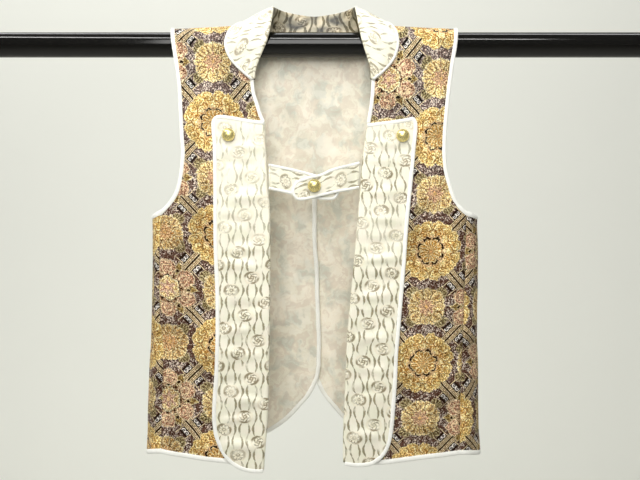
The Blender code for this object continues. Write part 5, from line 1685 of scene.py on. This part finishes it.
def cloth(obj):
    """Works out a piece's flat cut and area; the result is not kept."""
    width, length, area = cut_of(obj)
    min(area, width * length)


for s in (-1, 1):
    name = SIDE_NAME[s]
    cloth(made["front_" + name])
    cloth(made["side_" + name])
    cloth(made["lapel_" + name])
cloth(made["back"])
cloth(made["back_lining"])
cloth(made["collar"])
cloth(made["strap_right"])
cloth(made["strap_left"])


# -------------------------------------------------------------- the studio
def slab(name, corners, look):
    mesh = bpy.data.meshes.new(name)
    mesh.from_pydata(corners, [], [(0, 1, 2, 3)])
    obj = bpy.data.objects.new(name, mesh)
    COLL.objects.link(obj)
    mesh.materials.append(look)
    return obj


slab("studio_floor", [(-6, -6, -1.3), (6, -6, -1.3), (6, 6, -1.3), (-6, 6, -1.3)],
     stage_look("floor_paint", shade(208, 207, 200), 3.0))
slab("studio_wall", [(-6, 2.3, -1.3), (6, 2.3, -1.3), (6, 2.3, 4.5), (-6, 2.3, 4.5)],
     stage_look("wall_paint", shade(249, 250, 241), 2.0))

world = bpy.data.worlds.new("studio_air")
world.use_nodes = True
world.node_tree.nodes["Background"].inputs["Color"].default_value = (1.0, 1.0, 0.985, 1.0)
world.node_tree.nodes["Background"].inputs["Strength"].default_value = 0.17
bpy.context.scene.world = world


def lamp(name, at, look_at, size, power, colour=(1, 1, 1)):
    data = bpy.data.lights.new(name, "AREA")
    data.shape = "RECTANGLE"
    data.size, data.size_y = size
    data.energy = power
    data.color = colour
    obj = bpy.data.objects.new(name, data)
    COLL.objects.link(obj)
    obj.location = at
    from mathutils import Vector
    obj.rotation_mode = "QUATERNION"
    obj.rotation_quaternion = (Vector(look_at) - Vector(at)).to_track_quat("-Z", "Y")
    return obj


lamp("overhead_strip", (-0.32, -0.62, 0.86), (-0.02, 0.0, -0.12), (2.0, 0.09), 13.5, (1.0, 0.99, 0.96))
lamp("front_softbox", (-0.07, -0.94, 0.29), (-0.02, 0.0, -0.06), (0.56, 0.6), 6.4, (1.0, 0.99, 0.96))
for name, x, power in (("fill_low", -0.5, 2.2), ("fill_left", -1.25, 2.6), ("fill_right", 1.25, 1.4)):
    fill = lamp(name, (x, -1.25 if abs(x) < 1 else -0.35, -0.08), (x * 0.08, 0.0, -0.28), (0.6, 0.6), power)
    fill.visible_glossy = False
lamp("wall_wash", (-0.7, 0.9, 2.4), (-0.4, 2.3, -0.1), (4.5, 0.6), 64)
lamp("wall_low", (0.1, 0.9, -1.2), (0.3, 2.3, -0.2), (3.6, 0.4), 9)

cam_data = bpy.data.cameras.new("photo_view")
cam_data.sensor_fit = "HORIZONTAL"
cam_data.sensor_width = 36.0
cam_data.lens = 889.7 / 640 * 36.0
cam_data.dof.use_dof = False
cam_data.clip_start, cam_data.clip_end = 0.01, 30.0
cam = bpy.data.objects.new("photo_view", cam_data)
COLL.objects.link(cam)
cam.rotation_mode = "XYZ"
cam.location = (0.00674, -1.0, -0.2192)
cam.rotation_euler = (math.pi / 2, 0.0, 0.0)
bpy.context.scene.camera = cam
bpy.context.scene.view_settings.view_transform = "Standard"
bpy.context.scene.view_settings.look = "None"
bpy.context.scene.view_settings.exposure = 0.0
bpy.context.scene.view_settings.gamma = 1.0

bpy.context.view_layer.update()
